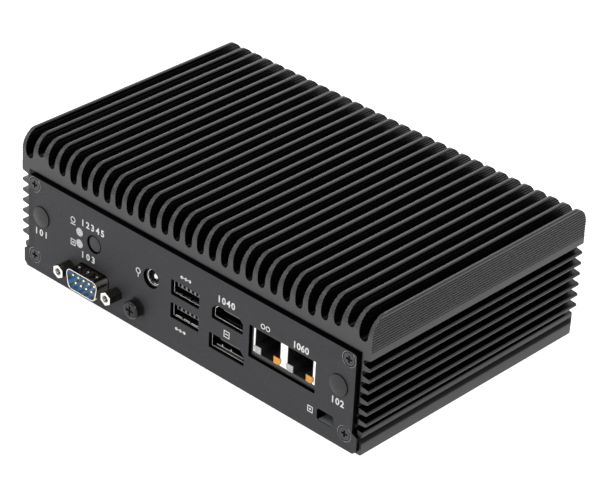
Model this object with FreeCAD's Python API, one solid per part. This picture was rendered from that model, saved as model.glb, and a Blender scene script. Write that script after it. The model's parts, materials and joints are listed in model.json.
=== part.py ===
import FreeCAD, Part
import math
import os

# Fanless industrial computer in millimetres: a ribbed aluminium extrusion
# closed by a socket panel, a plain rear panel and a bottom cover. Its mainboard
# hangs under the roof, and every socket hangs under the mainboard.
#
# Frame: +X to the right as seen from the socket side, +Y to the rear, +Z up.
# The origin is the centre of the bottom face.

V = FreeCAD.Vector
FORWARD = V(0, -1, 0)
REARWARD = V(0, 1, 0)
UP = V(0, 0, 1)
DOWN = V(0, 0, -1)

# ---------------------------------------------------------------- extrusion
WIDTH = 171.8                 # over the outer fins
DEPTH = 112.0                 # length of the extrusion
HEIGHT = 55.0                 # bottom face to fin tips
FIN_PITCH = 5.85
FIN_HEIGHT = 11.0             # fin tip to the floor of a regular slot
FIN_TIP = 1.7                 # thickness of a fin at its rounded tip
SLOT_WIDTH = 3.15             # at the floor of a regular slot
EDGE_SLOT_WIDTH = 3.85        # of the first and last slot
EDGE_FIN = 1.9                # least thickness of an outer fin's foot
FLARE = 0.5                   # how much each flank opens from floor to tip
FLOOR_LIFTS = (1.0, 3.75, 1.45, 0.95)   # of the four outermost slots
FIN_END_RADIUS = 7.5          # milled front and rear corners of the fins
RIDGE_PITCH = 1.04            # fine lengthwise ridges on every fin flank
RIDGE_DEPTH = 0.2
RIDGE_TOP_GAP = 1.0           # fin tip to the highest ridge
BAND_HEIGHT = 16.4            # flat outer face over the side grooves
BAND_SMOOTH = 3.5             # its lower part has no ridges
EDGE_ROUND = 0.6              # small rounds of the outer section
GROOVE_PITCH = 4.39           # side grooves
GROOVE_ROOT = 2.3
TOOTH_TIP = 1.5
GROOVE_DEPTH_TOP = 3.3
GROOVE_DEPTH_FOOT = 5.2
FOOT_HEIGHT = 9.3             # zone under the side grooves
FOOT_INSET = 1.6              # foot face behind the tooth tips
FOOT_NOTCH_TOP = 7.4
FOOT_NOTCH_FLOOR = 6.0
FOOT_NOTCH_FOOT = 4.6
FOOT_NOTCH_DEPTH = 1.8
ROOF_THICKNESS = 6.0          # slot floor to the ceiling inside
SIDE_WALL = 8.5               # tooth tips to the inner wall face
PORT_BLOCK = 12.0             # tooth tips to the inner face of a screw port
PORT_INSET = 8.3              # tooth tips to the axis of a screw port
PORT_DROP = 1.6               # ceiling to the axis of an upper screw port
PORT_RISE = 6.5               # bottom face to the axis of a lower screw port
PORT_WALL = 1.6               # metal around a screw port
CEILING_TAP_DEPTH = 4.0

# ---------------------------------------------------------------- fasteners
SCREW_RADIUS = 1.5
SCREW_HEAD_RADIUS = 2.6
PAN_HEAD_HEIGHT = 2.0
THREAD_CLEARANCE = 0.02
HOLE_CLEARANCE = 0.15
RECESS_WIDTH = 0.75
RECESS_SHARE = 1.1            # recess span over the head's radius
RECESS_DEPTH = 0.8
PANEL_SCREW_LENGTH = 8.0
COVER_SCREW_RADIUS = 1.25
COVER_HEAD_RADIUS = 2.2
COVER_SCREW_LENGTH = 4.2

# ------------------------------------------------------------------- panels
PANEL_THICKNESS = 1.5
PANEL_LAP = 1.6               # panel over the ceiling line
PANEL_INSET = 5.0             # panel edge behind the tooth tips
PANEL_FLARE_INSET = 2.6       # the same along the wider foot
PANEL_FLARE_TOP = 8.4
PANEL_FLARE_FOOT = 7.2
PANEL_FOOT_GAP = 0.3
PANEL_CORNER = 1.2
PANEL_FOOT_CHAMFER = 1.6
COVER_THICKNESS = 1.6
COVER_INSET = 6.9             # cover edge behind the tooth tips
COVER_GAP = 0.1
COVER_SCREW_INSET = 2.4       # cover edge to the axis of its screws
COVER_SCREW_SPAN = 80.0       # between the front and rear cover screws
BRACKET_SPAN = 75.0           # square of threaded holes for a wall bracket
BRACKET_THREAD_RADIUS = 2.0
BRACKET_NUT_RADIUS = 4.0
BRACKET_NUT_HEIGHT = 3.2
BRACKET_NUT_SPIGOT = 2.7

# ---------------------------------------------------------------- mainboard
BOARD_DROP = 7.5              # ceiling to the board's upper face
BOARD_THICKNESS = 1.6
BOARD_INSET = 12.9            # tooth tips to the board's side edge
BOARD_DEPTH = 102.0
BOARD_SETBACK = 1.5           # front end of the extrusion to the board
BOARD_HOLE_X = 3.5            # hole axis from the board's side edge
BOARD_HOLE_Y = 7.0            # and from its front or rear edge
STANDOFF_ACROSS = 5.0
STANDOFF_TAP = 5.0
BOARD_SCREW_LENGTH = 5.6
BOARD_CORNER = 1.5
SOLDER_GAP = 0.1              # air between a fitting and the board

# ------------------------------------------------- sockets seen on the panel
SOCKET_SETBACK = 1.1          # panel face to the front edge of a socket
SOCKET_PLAY = 0.45            # cut-out around a socket, on each side
METAL = 0.3                   # folded sheet of the socket sleeves

SERIAL_RISE = 0.36            # share of the board's height at the axis
SERIAL_SHIFT = 0.1            # serial socket left of the button's axis
SERIAL_WIDTH = 16.9
SERIAL_HEIGHT = 8.4
SERIAL_CORNER = 2.4
SERIAL_SLANT = 10.0           # degrees, lean of the two ends
SERIAL_METAL = 0.4
SERIAL_REACH = 6.0            # in front of the panel
SERIAL_FLANGE_WIDTH = 30.8
SERIAL_FLANGE_HEIGHT = 12.5
SERIAL_FLANGE = 0.8
SERIAL_SCREW_SPAN = 24.99
SERIAL_SCREW_RADIUS = 1.42
SERIAL_SCREW_HOLE = 1.9       # through the panel and the flange
SERIAL_SCREW_ACROSS = 4.75
SERIAL_SCREW_REACH = 6.0
SERIAL_SCREW_TAP = 5.0
SERIAL_FACE_DEPTH = 4.8       # rim of the sleeve to the insert's face
SERIAL_BACK = 6.0             # insert behind the flange
SERIAL_PIN_PITCH = 2.77
SERIAL_ROW_PITCH = 2.84
SERIAL_PIN_RADIUS = 0.5
SERIAL_PIN_REACH = 3.9
SERIAL_PIN_TAIL = 3.0
SERIAL_PLAY = 0.3

BUTTON_DROP = 3.8             # board to the button's axis
BUTTON_RADIUS = 3.2
BUTTON_PLAY = 0.28
BUTTON_RECESS = 0.4           # button face behind the panel face
BUTTON_TRAVEL = 1.0
BUTTON_FLANGE_RADIUS = 3.75
BUTTON_FLANGE = 0.8
BUTTON_FLANGE_GAP = 0.1       # panel to the flange at rest
BUTTON_STEM_RADIUS = 1.5
BUTTON_STEM_PLAY = 0.06
BUTTON_STEM_LENGTH = 5.0
BUTTON_EDGE = 0.35
SWITCH_SIZE = 7.0
SWITCH_GAP = 2.4              # flange to the switch
SWITCH_DEPTH = 6.0

LAMP_DROP = 1.95              # board to the upper lamp's axis
LAMP_PITCH = 4.85
LAMP_RADIUS = 1.7
LAMP_PLAY = 0.05
LAMP_LENGTH = 6.0
LAMP_HOLDER_DEPTH = 5.0
LAMP_HOLDER_WALL = 0.9

PLUG_X_INSET = 12.1           # tooth tips to an antenna plug's axis
PLUG_RADIUS = 4.05
PLUG_RIM = 0.45
PLUG_CROWN = 0.35
PLUG_STEM_RADIUS = 3.2
PLUG_STEM_LENGTH = 3.6
PLUG_BARB = 0.35

JACK_DROP = 4.5
JACK_HOLE_RADIUS = 3.9
JACK_WIDTH = 9.0
JACK_DEPTH = 14.0
JACK_BORE = 3.15
JACK_BORE_DEPTH = 9.5
JACK_SLEEVE = 0.3
JACK_PIN_RADIUS = 1.2
JACK_PIN_SETBACK = 1.0
JACK_COLLAR = 3.7

GROUND_SHIFT = 22.7           # serial socket to the earth screw's axis
GROUND_DROP = 1.1             # and how much lower it sits
GROUND_RADIUS = 2.0
GROUND_HEAD_RADIUS = 3.5
GROUND_HEAD_HEIGHT = 2.3
GROUND_HEAD_EDGE = 0.9
GROUND_WASHER_RADIUS = 3.9
GROUND_WASHER = 0.5
GROUND_LOCK_RADIUS = 3.3
GROUND_LOCK = 0.9
GROUND_LENGTH = 7.5
GROUND_NUT_RADIUS = 3.6
GROUND_NUT = 2.4

DATA_DROP = 3.0               # board to the upper socket's axis
DATA_PITCH = 9.45
DATA_WIDTH = 13.1
DATA_HEIGHT = 5.3
DATA_DEPTH = 17.0
DATA_TUNNEL = 11.0
DATA_TONGUE_WIDTH = 11.1
DATA_TONGUE = 1.84
DATA_TONGUE_LENGTH = 8.4
DATA_TONGUE_RISE = 0.9        # tongue's middle over the socket's axis
DATA_NOTCH_COUNT = 5
DATA_NOTCH = 1.05
DATA_NOTCH_PITCH = 2.1
DATA_NOTCH_DEPTH = 0.6
DATA_NOTCH_LENGTH = 3.0

VIDEO_DEPTH = 17.0
VIDEO_CARRIER_WALL = 0.8
VIDEO_TUNNEL = 11.5
VIDEO_UPPER_DROP = 3.3
VIDEO_UPPER_WIDTH = 14.2
VIDEO_UPPER_HEIGHT = 5.2
VIDEO_UPPER_CHAMFER = 1.8
VIDEO_LOWER_DROP = 15.7
VIDEO_LOWER_WIDTH = 16.2
VIDEO_LOWER_HEIGHT = 5.3
VIDEO_LOWER_CHAMFER = 2.2
VIDEO_TONGUE = 1.2
VIDEO_TONGUE_LENGTH = 7.5
VIDEO_TONGUE_SIDE = 1.6       # sleeve wall to the tongue's edge

NETWORK_DROP = 0.9            # board to the top of the cut-out
NETWORK_WIDTH = 30.4
NETWORK_HEIGHT = 12.1
NETWORK_DEPTH = 21.0
NETWORK_PORT_PITCH = 15.2
NETWORK_PORT_WIDTH = 11.5
NETWORK_PORT_TOP = 0.7        # shield's top to the port
NETWORK_PORT_HEIGHT = 6.6
NETWORK_PORT_DEPTH = 13.0
NETWORK_LATCH_WIDTH = 5.6
NETWORK_LATCH_HEIGHT = 3.0
NETWORK_LAMP_WIDTH = 2.6
NETWORK_LAMP_HEIGHT = 2.3
NETWORK_LAMP_LENGTH = 7.0
NETWORK_CONTACT_PITCH = 1.02
NETWORK_CONTACT = 0.35
NETWORK_CONTACT_LENGTH = 7.0
NETWORK_CONTACT_LEAN = 14.0   # degrees

LOCK_INSET = 17.3             # tooth tips to the slot's middle
LOCK_Z = 8.3
LOCK_WIDTH = 7.6
LOCK_HEIGHT = 4.6
LOCK_ROUND = 1.0

# Gaps along the panel's upper row: plug, lamps, button, power inlet, data,
# video, network, plug. They stretch together when the width changes.
ROW_GAPS = (13.6, 1.3, 21.25, 5.95, 5.35, 2.1, 6.95)

# -------------------------------------------------- parts on the mainboard
PROCESSOR_X = 4.0
PROCESSOR_Y = -4.0
PROCESSOR_WIDTH = 28.0
PROCESSOR_DEPTH = 24.0
PROCESSOR_BASE = 1.2
DIE_WIDTH = 13.0
DIE_DEPTH = 10.0
DIE_HEIGHT = 0.6
PAD_THICKNESS = 0.4
PAD_MARGIN = 1.0
HEAT_BLOCK_WIDTH = 56.0
HEAT_BLOCK_DEPTH = 44.0
HEAT_BLOCK_HOLE_INSET = 5.0
HEAT_BLOCK_SCREW_GRIP = 3.4   # block left over the sunk screw heads
HEAT_BLOCK_SCREW_LENGTH = 7.0
MEMORY_INSET = 39.0           # board's left edge to the module's middle
MEMORY_Y = 22.0
MEMORY_WIDTH = 67.6
MEMORY_DEPTH = 30.0
MEMORY_THICKNESS = 1.2
MEMORY_DROP = 3.0             # board to the module
MEMORY_SOCKET_DEPTH = 7.0
MEMORY_SOCKET_HEIGHT = 5.2
MEMORY_SOCKET_LAP = 3.0
MEMORY_CHIPS = 4
MEMORY_CHIP_WIDTH = 10.0
MEMORY_CHIP_DEPTH = 8.0
MEMORY_CHIP_HEIGHT = 0.9
STORAGE_GAP = 7.2             # memory module's end to the storage module
STORAGE_Y = -26.0             # front edge of the storage module
STORAGE_WIDTH = 22.0
STORAGE_LENGTH = 42.0
STORAGE_THICKNESS = 0.8
STORAGE_DROP = 3.2
STORAGE_SOCKET_DEPTH = 8.0
STORAGE_SOCKET_LAP = 4.0
STORAGE_SOCKET_HEIGHT = 5.4
STORAGE_CHIP = 1.2
STORAGE_POST_RADIUS = 2.6
CELL_INSET = 19.0             # board's right edge to the cell's middle
CELL_Y = 33.0
CELL_RADIUS = 10.0
CELL_HEIGHT = 3.2
CELL_HOLDER_WALL = 1.0
CELL_HOLDER_FLOOR = 1.4
COIL_SIZE = 7.0
COIL_HEIGHT = 4.2
COIL_PITCH = 9.0
COIL_COUNT = 3
CAPACITOR_RADIUS = 3.15
CAPACITOR_HEIGHT = 5.8
CAPACITOR_PITCH = 8.0
CAPACITOR_COUNT = 4
POWER_ROW_INSET = 33.0        # board's left edge to the row of coils
CHIP_SIZE = 7.0
CHIP_HEIGHT = 0.9
CHIP_PITCH = 15.2
CHIP_Y = -20.0
RIBBON_WIDTH = 12.7
RIBBON = 0.9
RIBBON_BEND = 5.0
RIBBON_RUN = 4.0
RIBBON_PLUG_WIDTH = 14.0
RIBBON_PLUG_DEPTH = 5.0
RIBBON_PLUG_HEIGHT = 6.0
HEADER_HEIGHT = 4.6
HEADER_WALL = 1.0
HEADER_LAP = 2.6

# ------------------------------------------------------------ derived places
FRONT = -DEPTH / 2
REAR = DEPTH / 2
PANEL_FACE = FRONT - PANEL_THICKNESS
SLOT_FLOOR = HEIGHT - FIN_HEIGHT
CEILING = SLOT_FLOOR - ROOF_THICKNESS
BAND_FOOT = HEIGHT - BAND_HEIGHT
PORT_X = WIDTH / 2 - PORT_INSET
PORT_TOP_Z = CEILING - PORT_DROP
PANEL_TOP = CEILING + PANEL_LAP
BOARD_TOP = CEILING - BOARD_DROP
BOARD_FOOT = BOARD_TOP - BOARD_THICKNESS
BOARD_FRONT = FRONT + BOARD_SETBACK
BOARD_REAR = BOARD_FRONT + BOARD_DEPTH
SOCKET_FACE = PANEL_FACE + SOCKET_SETBACK
COVER_SCREW_X = WIDTH / 2 - COVER_INSET - COVER_SCREW_INSET
BOARD_WIDTH = WIDTH - 2 * BOARD_INSET
PLUG_X = WIDTH / 2 - PLUG_X_INSET
PLUG_Z = BOARD_FOOT - JACK_DROP
LOCK_X = WIDTH / 2 - LOCK_INSET
LAMP_HOLDER_WIDTH = 2 * (LAMP_RADIUS + LAMP_HOLDER_WALL)
VIDEO_CARRIER_WIDTH = VIDEO_LOWER_WIDTH + 2 * VIDEO_CARRIER_WALL


def row_places():
    """Middles of the fittings in the panel's upper row, from left to right."""
    widths = (LAMP_HOLDER_WIDTH, 2 * BUTTON_FLANGE_RADIUS, JACK_WIDTH, DATA_WIDTH,
              VIDEO_CARRIER_WIDTH, NETWORK_WIDTH)
    reach = PLUG_X - PLUG_RADIUS
    stretch = (2 * reach - sum(widths)) / sum(ROW_GAPS)
    places = []
    edge = -reach
    for width, gap in zip(widths, ROW_GAPS):
        edge += gap * stretch
        places.append(edge + width / 2)
        edge += width
    return places


LAMP_X, BUTTON_X, JACK_X, DATA_X, VIDEO_X, NETWORK_X = row_places()
SERIAL_X = BUTTON_X - SERIAL_SHIFT
SERIAL_Z = SERIAL_RISE * BOARD_FOOT
GROUND_X = SERIAL_X + GROUND_SHIFT
GROUND_Z = SERIAL_Z - GROUND_DROP
MEMORY_X = MEMORY_INSET - BOARD_WIDTH / 2
STORAGE_X = MEMORY_X + MEMORY_WIDTH / 2 + STORAGE_GAP + STORAGE_WIDTH / 2
CELL_X = BOARD_WIDTH / 2 - CELL_INSET
POWER_ROW_X = POWER_ROW_INSET - BOARD_WIDTH / 2


# ------------------------------------------------------------- shape helpers
def block(x0, x1, y0, y1, z0, z1):
    """A box between two corners."""
    return Part.makeBox(x1 - x0, y1 - y0, z1 - z0, V(x0, y0, z0))


def hung(x, width, y0, y1, drop, height):
    """A box hanging under the mainboard, centred on x, drop below its face."""
    top = BOARD_FOOT - drop
    return block(x - width / 2, x + width / 2, y0, y1, top - height, top)


def rod(x, y, z, toward, radius, length):
    """A cylinder that starts at a point and runs along a direction."""
    return Part.makeCylinder(radius, length, V(x, y, z), toward)


def rounded_face(corners):
    """A flat face from (point, radius) corners, each rounded by its radius."""
    edges = []
    count = len(corners)
    turns = []
    for index, (point, radius) in enumerate(corners):
        before = (corners[index - 1][0] - point).normalize()
        after = (corners[(index + 1) % count][0] - point).normalize()
        if radius <= 0:
            turns.append((point, None, point))
            continue
        half = before.getAngle(after) / 2
        run = radius / math.tan(half)
        inward = (before + after).normalize()
        middle = point + inward * (radius / math.sin(half) - radius)
        turns.append((point + before * run, middle, point + after * run))
    for index, (start, middle, end) in enumerate(turns):
        if middle is not None:
            edges.append(Part.Arc(start, middle, end).toShape())
        following = turns[(index + 1) % count][0]
        if (following - end).Length > 1e-6:
            edges.append(Part.LineSegment(end, following).toShape())
    return Part.Face(Part.Wire(edges))


def section(corners, y0, y1):
    """A prism along Y from (x, z, radius) corners."""
    face = rounded_face([(V(x, y0, z), radius) for x, z, radius in corners])
    return face.extrude(V(0, y1 - y0, 0))


def rounded_block(x0, x1, y0, y1, z0, z1, radius):
    """A box whose four edges along Y are rounded."""
    corners = [(x0, z0, radius), (x1, z0, radius), (x1, z1, radius), (x0, z1, radius)]
    return section(corners, y0, y1)


def upright_block(x0, x1, y0, y1, z0, z1, radius):
    """A box whose four upright edges are rounded."""
    points = [V(x0, y0, z0), V(x1, y0, z0), V(x1, y1, z0), V(x0, y1, z0)]
    face = rounded_face([(point, radius) for point in points])
    return face.extrude(V(0, 0, z1 - z0))


def turned(profile):
    """A solid turned about Z from (radius, height, corner radius) corners."""
    face = rounded_face([(V(r, 0, h), radius) for r, h, radius in profile])
    return face.revolve(V(0, 0, 0), UP, 360)


def stand(shape, x, y, z, toward):
    """Move a shape made about +Z so that it stands at a point, facing toward."""
    placed = shape.copy()
    placed.Placement = FreeCAD.Placement(V(x, y, z), FreeCAD.Rotation(UP, toward))
    return placed


def hexagon(across, length):
    """A hexagonal bar along +Z with two flats facing +X and -X."""
    reach = across / math.sqrt(3)
    angles = [math.radians(30 + 60 * step) for step in range(7)]
    points = [V(reach * math.cos(a), reach * math.sin(a), 0) for a in angles]
    return Part.Face(Part.makePolygon(points)).extrude(V(0, 0, length))


def joined(shapes):
    """One solid from touching shapes."""
    shape = shapes[0]
    if len(shapes) > 1:
        shape = shape.fuse(shapes[1:])
    return shape.removeSplitter()


def group(shapes):
    """Separate solids that share one node."""
    return Part.makeCompound(shapes)


def cross_recess(span):
    """The cross-shaped driver recess in a screw head, cut down from Z = 0."""
    bar = block(-span / 2, span / 2, -RECESS_WIDTH / 2, RECESS_WIDTH / 2, -RECESS_DEPTH, RECESS_DEPTH)
    other = bar.copy()
    other.rotate(V(0, 0, 0), UP, 90)
    return bar.fuse(other)


def countersunk_screw(length, radius=SCREW_RADIUS, head_radius=SCREW_HEAD_RADIUS):
    """A countersunk screw, its head's face at Z = 0 and its shank below."""
    body = turned([(0, 0, 0), (0, -length, 0), (radius, -length, 0),
                   (radius, radius - head_radius, 0), (head_radius, 0, 0)])
    return body.cut(cross_recess(head_radius * RECESS_SHARE))


def pan_screw(length, head_radius=SCREW_HEAD_RADIUS, head_height=PAN_HEAD_HEIGHT,
              radius=SCREW_RADIUS, edge=0.6):
    """A pan-head screw, its head's underside at Z = 0 and its shank below."""
    body = turned([(0, head_height, 0), (0, -length, 0), (radius, -length, 0), (radius, 0, 0),
                   (head_radius, 0, 0), (head_radius, head_height, edge)])
    recess = cross_recess(head_radius * RECESS_SHARE)
    recess.translate(V(0, 0, head_height))
    return body.cut(recess)


def countersunk_hole(x, y, z, inward, thickness, radius=SCREW_RADIUS, head_radius=SCREW_HEAD_RADIUS):
    """The hole that a countersunk screw needs in a sheet."""
    hole_radius = radius + HOLE_CLEARANCE
    mouth = head_radius + THREAD_CLEARANCE
    cone = Part.makeCone(mouth, hole_radius, mouth - hole_radius, V(x, y, z), inward)
    return cone.fuse(rod(x, y, z, inward, hole_radius, thickness))


# ------------------------------------------------------------- the extrusion
def ridge_rows(low, high):
    """Heights of the ridge crests that fit between two heights, top first."""
    crest = HEIGHT - RIDGE_TOP_GAP
    rows = []
    while crest - RIDGE_PITCH > low:
        if crest < high:
            rows.append(crest)
        crest -= RIDGE_PITCH
    return rows


def flank(x_low, z_low, x_high, z_high, cut):
    """A ridged flank from its top down; cut is the signed depth in X."""
    def on_line(z):
        return x_low + (x_high - x_low) * (z - z_low) / (z_high - z_low)

    rows = ridge_rows(z_low, z_high)
    corners = []
    for crest in rows:
        valley = crest - RIDGE_PITCH / 2
        corners += [(on_line(crest), crest, 0), (on_line(valley) + cut, valley, 0)]
    if rows:
        last = rows[-1] - RIDGE_PITCH
        corners.append((on_line(last), last, 0))
    return corners


def slots():
    """Centre, floor half width, rim half width and floor height of every slot."""
    reach = WIDTH / 2 - EDGE_SLOT_WIDTH / 2 - EDGE_FIN
    count = 1 + int(2 * reach / FIN_PITCH)
    result = []
    for index in range(count):
        centre = (index - (count - 1) / 2) * FIN_PITCH
        from_edge = min(index, count - 1 - index)
        floor = SLOT_FLOOR + (FLOOR_LIFTS[from_edge] if from_edge < len(FLOOR_LIFTS) else 0)
        half = (EDGE_SLOT_WIDTH if from_edge == 0 else SLOT_WIDTH) / 2
        rim = (FIN_PITCH - FIN_TIP) / 2
        result.append((centre, half, rim, floor))
    return result


def finned_top():
    """Corners of the roof's outline from the left edge to the right edge."""
    rows = slots()
    corners = []
    left_face = -WIDTH / 2
    for index, (centre, half, rim, floor) in enumerate(rows):
        outer_rim = half + FLARE
        left_rim = outer_rim if index == 0 else rim
        right_rim = outer_rim if index == len(rows) - 1 else rim
        tip = centre - left_rim - left_face
        rim_z = HEIGHT - tip / 2
        corners += [(left_face, HEIGHT, tip * 0.49), (centre - left_rim, HEIGHT, tip * 0.49)]
        foot_z = floor + half
        corners += flank(centre - half, foot_z, centre - left_rim, rim_z, -RIDGE_DEPTH)
        corners += [(centre - half, floor, half * 0.96), (centre + half, floor, half * 0.96)]
        corners += flank(centre + half, foot_z, centre + right_rim, rim_z, RIDGE_DEPTH)[::-1]
        left_face = centre + right_rim
    tip = WIDTH / 2 - left_face
    corners += [(left_face, HEIGHT, tip * 0.49), (WIDTH / 2, HEIGHT, tip * 0.49)]
    return corners


def right_side():
    """Corners of the right side's outline from the outer fin down to the base."""
    edge = WIDTH / 2
    corners = flank(edge, BAND_FOOT + BAND_SMOOTH, edge, HEIGHT - EDGE_ROUND, -RIDGE_DEPTH)
    corners.append((edge, BAND_FOOT, EDGE_ROUND))
    count = max(1, int((BAND_FOOT - FOOT_HEIGHT + TOOTH_TIP) / GROOVE_PITCH))
    mouth = GROOVE_PITCH - TOOTH_TIP
    top = BAND_FOOT
    for index in range(count):
        share = index / max(1, count - 1)
        root = edge - GROOVE_DEPTH_TOP - (GROOVE_DEPTH_FOOT - GROOVE_DEPTH_TOP) * share
        middle = top - mouth / 2
        radius = GROOVE_ROOT / 2 * 0.96
        corners += [(root, middle + GROOVE_ROOT / 2, radius), (root, middle - GROOVE_ROOT / 2, radius)]
        top -= mouth
        if index < count - 1:
            corners += [(edge, top, TOOTH_TIP * 0.44), (edge, top - TOOTH_TIP, TOOTH_TIP * 0.44)]
            top -= TOOTH_TIP
    foot = edge - FOOT_INSET
    corners += [(foot, top, EDGE_ROUND), (foot, FOOT_NOTCH_TOP, 0),
                (foot - FOOT_NOTCH_DEPTH, FOOT_NOTCH_FLOOR, 0), (foot, FOOT_NOTCH_FOOT, 0),
                (foot, 0, EDGE_ROUND)]
    return corners


def right_inside():
    """Corners from the right base in and up to the ceiling."""
    port_face = WIDTH / 2 - PORT_BLOCK
    wall_face = WIDTH / 2 - SIDE_WALL
    cover_edge = WIDTH / 2 - COVER_INSET + COVER_GAP
    rebate = COVER_THICKNESS + THREAD_CLEARANCE
    port_reach = SCREW_RADIUS + PORT_WALL
    return [(cover_edge, 0, 0), (cover_edge, rebate, 0), (port_face, rebate, 0),
            (port_face, PORT_RISE + port_reach, EDGE_ROUND), (wall_face, PORT_RISE + port_reach, EDGE_ROUND),
            (wall_face, PORT_TOP_Z - port_reach, EDGE_ROUND), (port_face, PORT_TOP_Z - port_reach, EDGE_ROUND),
            (port_face, CEILING, EDGE_ROUND)]


def fin_end_cutter(end, inward):
    """What the mill takes off the fin corners at one end of the extrusion."""
    radius = FIN_END_RADIUS
    clear = radius + 1
    low = HEIGHT - radius
    knee = math.sqrt(0.5) * radius
    start = V(0, end, low)
    middle = V(0, end + inward * (radius - knee), low + knee)
    finish = V(0, end + inward * radius, HEIGHT)
    corner = [finish, finish + V(0, 0, clear), V(0, end - inward, HEIGHT + clear), V(0, end - inward, low), start]
    edges = [Part.Arc(start, middle, finish).toShape()]
    edges += [Part.LineSegment(a, b).toShape() for a, b in zip(corner, corner[1:])]
    face = Part.Face(Part.Wire(edges))
    face.translate(V(-WIDTH, 0, 0))
    return face.extrude(V(2 * WIDTH, 0, 0))


def standoff_places():
    """Where the four board standoffs stand, as (x, y)."""
    x = BOARD_WIDTH / 2 - BOARD_HOLE_X
    return [(sx, y) for sx in (-x, x) for y in (BOARD_FRONT + BOARD_HOLE_Y, BOARD_REAR - BOARD_HOLE_Y)]


def heat_block_places():
    """Where the four screws of the heat block stand, as (x, y)."""
    x = HEAT_BLOCK_WIDTH / 2 - HEAT_BLOCK_HOLE_INSET
    y = HEAT_BLOCK_DEPTH / 2 - HEAT_BLOCK_HOLE_INSET
    return [(PROCESSOR_X + sx, PROCESSOR_Y + sy) for sx in (-x, x) for sy in (-y, y)]


def cover_screw_places():
    """Where the bottom cover's screws stand, as (x, y)."""
    y = COVER_SCREW_SPAN / 2
    return [(sx, sy) for sx in (-COVER_SCREW_X, COVER_SCREW_X) for sy in (-y, y)]


def panel_screw_places():
    """Where a panel's screws stand, as (x, z)."""
    return [(sx, z) for sx in (-PORT_X, PORT_X) for z in (PORT_RISE, PORT_TOP_Z)]


def heatsink_body():
    """The whole extrusion: finned roof, grooved walls, screw ports and taps."""
    right = right_side() + right_inside()
    left = [(-x, z, radius) for x, z, radius in reversed(right)]
    body = section(finned_top() + right + left, FRONT, REAR)
    tap_radius = SCREW_RADIUS + THREAD_CLEARANCE
    cutters = [rod(x, FRONT - 1, z, REARWARD, tap_radius, DEPTH + 2) for x, z in panel_screw_places()]
    cutters += [rod(x, y, CEILING - 1, UP, tap_radius, CEILING_TAP_DEPTH + 1)
                for x, y in standoff_places() + heat_block_places()]
    cover_tap = COVER_SCREW_RADIUS + THREAD_CLEARANCE
    cutters += [rod(x, y, 0, UP, cover_tap, COVER_SCREW_LENGTH + 0.2) for x, y in cover_screw_places()]
    cutters += [fin_end_cutter(FRONT, 1), fin_end_cutter(REAR, -1)]
    return body.cut(cutters)


# -------------------------------------------------------- panels and covers
def panel_plate(y0, y1):
    """A front or rear plate: narrow above, with a wider foot."""
    half = WIDTH / 2 - PANEL_INSET
    foot = WIDTH / 2 - PANEL_FLARE_INSET
    low = PANEL_FOOT_GAP
    right = [(half, PANEL_TOP, PANEL_CORNER), (half, PANEL_FLARE_TOP, 0), (foot, PANEL_FLARE_FOOT, 0),
             (foot, low + PANEL_FOOT_CHAMFER, 0), (foot - PANEL_FOOT_CHAMFER, low, 0)]
    left = [(-x, z, radius) for x, z, radius in reversed(right)]
    return section(right + left, y0, y1)


def panel_screws(face_y, outward):
    """The four countersunk screws of one panel."""
    screw = countersunk_screw(PANEL_SCREW_LENGTH)
    return group([stand(screw, x, face_y, z, outward) for x, z in panel_screw_places()])


def front_panel():
    """The socket panel with every cut-out that its fittings need."""
    y0, y1 = PANEL_FACE - 1, FRONT + 1
    through = y1 - y0
    cutters = [countersunk_hole(x, PANEL_FACE, z, REARWARD, through) for x, z in panel_screw_places()]
    for x in (-PLUG_X, PLUG_X):
        cutters.append(rod(x, y0, PLUG_Z, REARWARD, PLUG_STEM_RADIUS + LAMP_PLAY, through))
    cutters.append(rod(BUTTON_X, y0, button_z(), REARWARD, BUTTON_RADIUS + BUTTON_PLAY, through))
    for z in lamp_heights():
        cutters.append(rod(LAMP_X, y0, z, REARWARD, LAMP_RADIUS + LAMP_PLAY, through))
    cutters.append(rod(JACK_X, y0, jack_z(), REARWARD, JACK_HOLE_RADIUS, through))
    cutters.append(rod(GROUND_X, y0, GROUND_Z, REARWARD, GROUND_RADIUS + HOLE_CLEARANCE, through))
    cutters.append(serial_prism(SERIAL_PLAY, y0, y1))
    for side in (-1, 1):
        x = SERIAL_X + side * SERIAL_SCREW_SPAN / 2
        cutters.append(rod(x, y0, SERIAL_Z, REARWARD, SERIAL_SCREW_HOLE, through))
    for z in data_heights():
        cutters.append(socket_opening(DATA_X, z, DATA_WIDTH, DATA_HEIGHT, y0, y1))
    cutters += [section(video_corners(*video_upper(), grow=SOCKET_PLAY), y0, y1),
                section(video_corners(*video_lower(), grow=SOCKET_PLAY), y0, y1)]
    top = network_top()
    cutters.append(socket_opening(NETWORK_X, top - NETWORK_HEIGHT / 2, NETWORK_WIDTH, NETWORK_HEIGHT, y0, y1))
    cutters.append(rounded_block(LOCK_X - LOCK_WIDTH / 2, LOCK_X + LOCK_WIDTH / 2, y0, y1,
                                 LOCK_Z - LOCK_HEIGHT / 2, LOCK_Z + LOCK_HEIGHT / 2, LOCK_ROUND))
    return panel_plate(PANEL_FACE, FRONT).cut(cutters)


def rear_panel():
    """The plain plate over the rear end."""
    face = REAR + PANEL_THICKNESS
    cutters = [countersunk_hole(x, face, z, FORWARD, PANEL_THICKNESS + 1) for x, z in panel_screw_places()]
    return panel_plate(REAR, face).cut(cutters)


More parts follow.
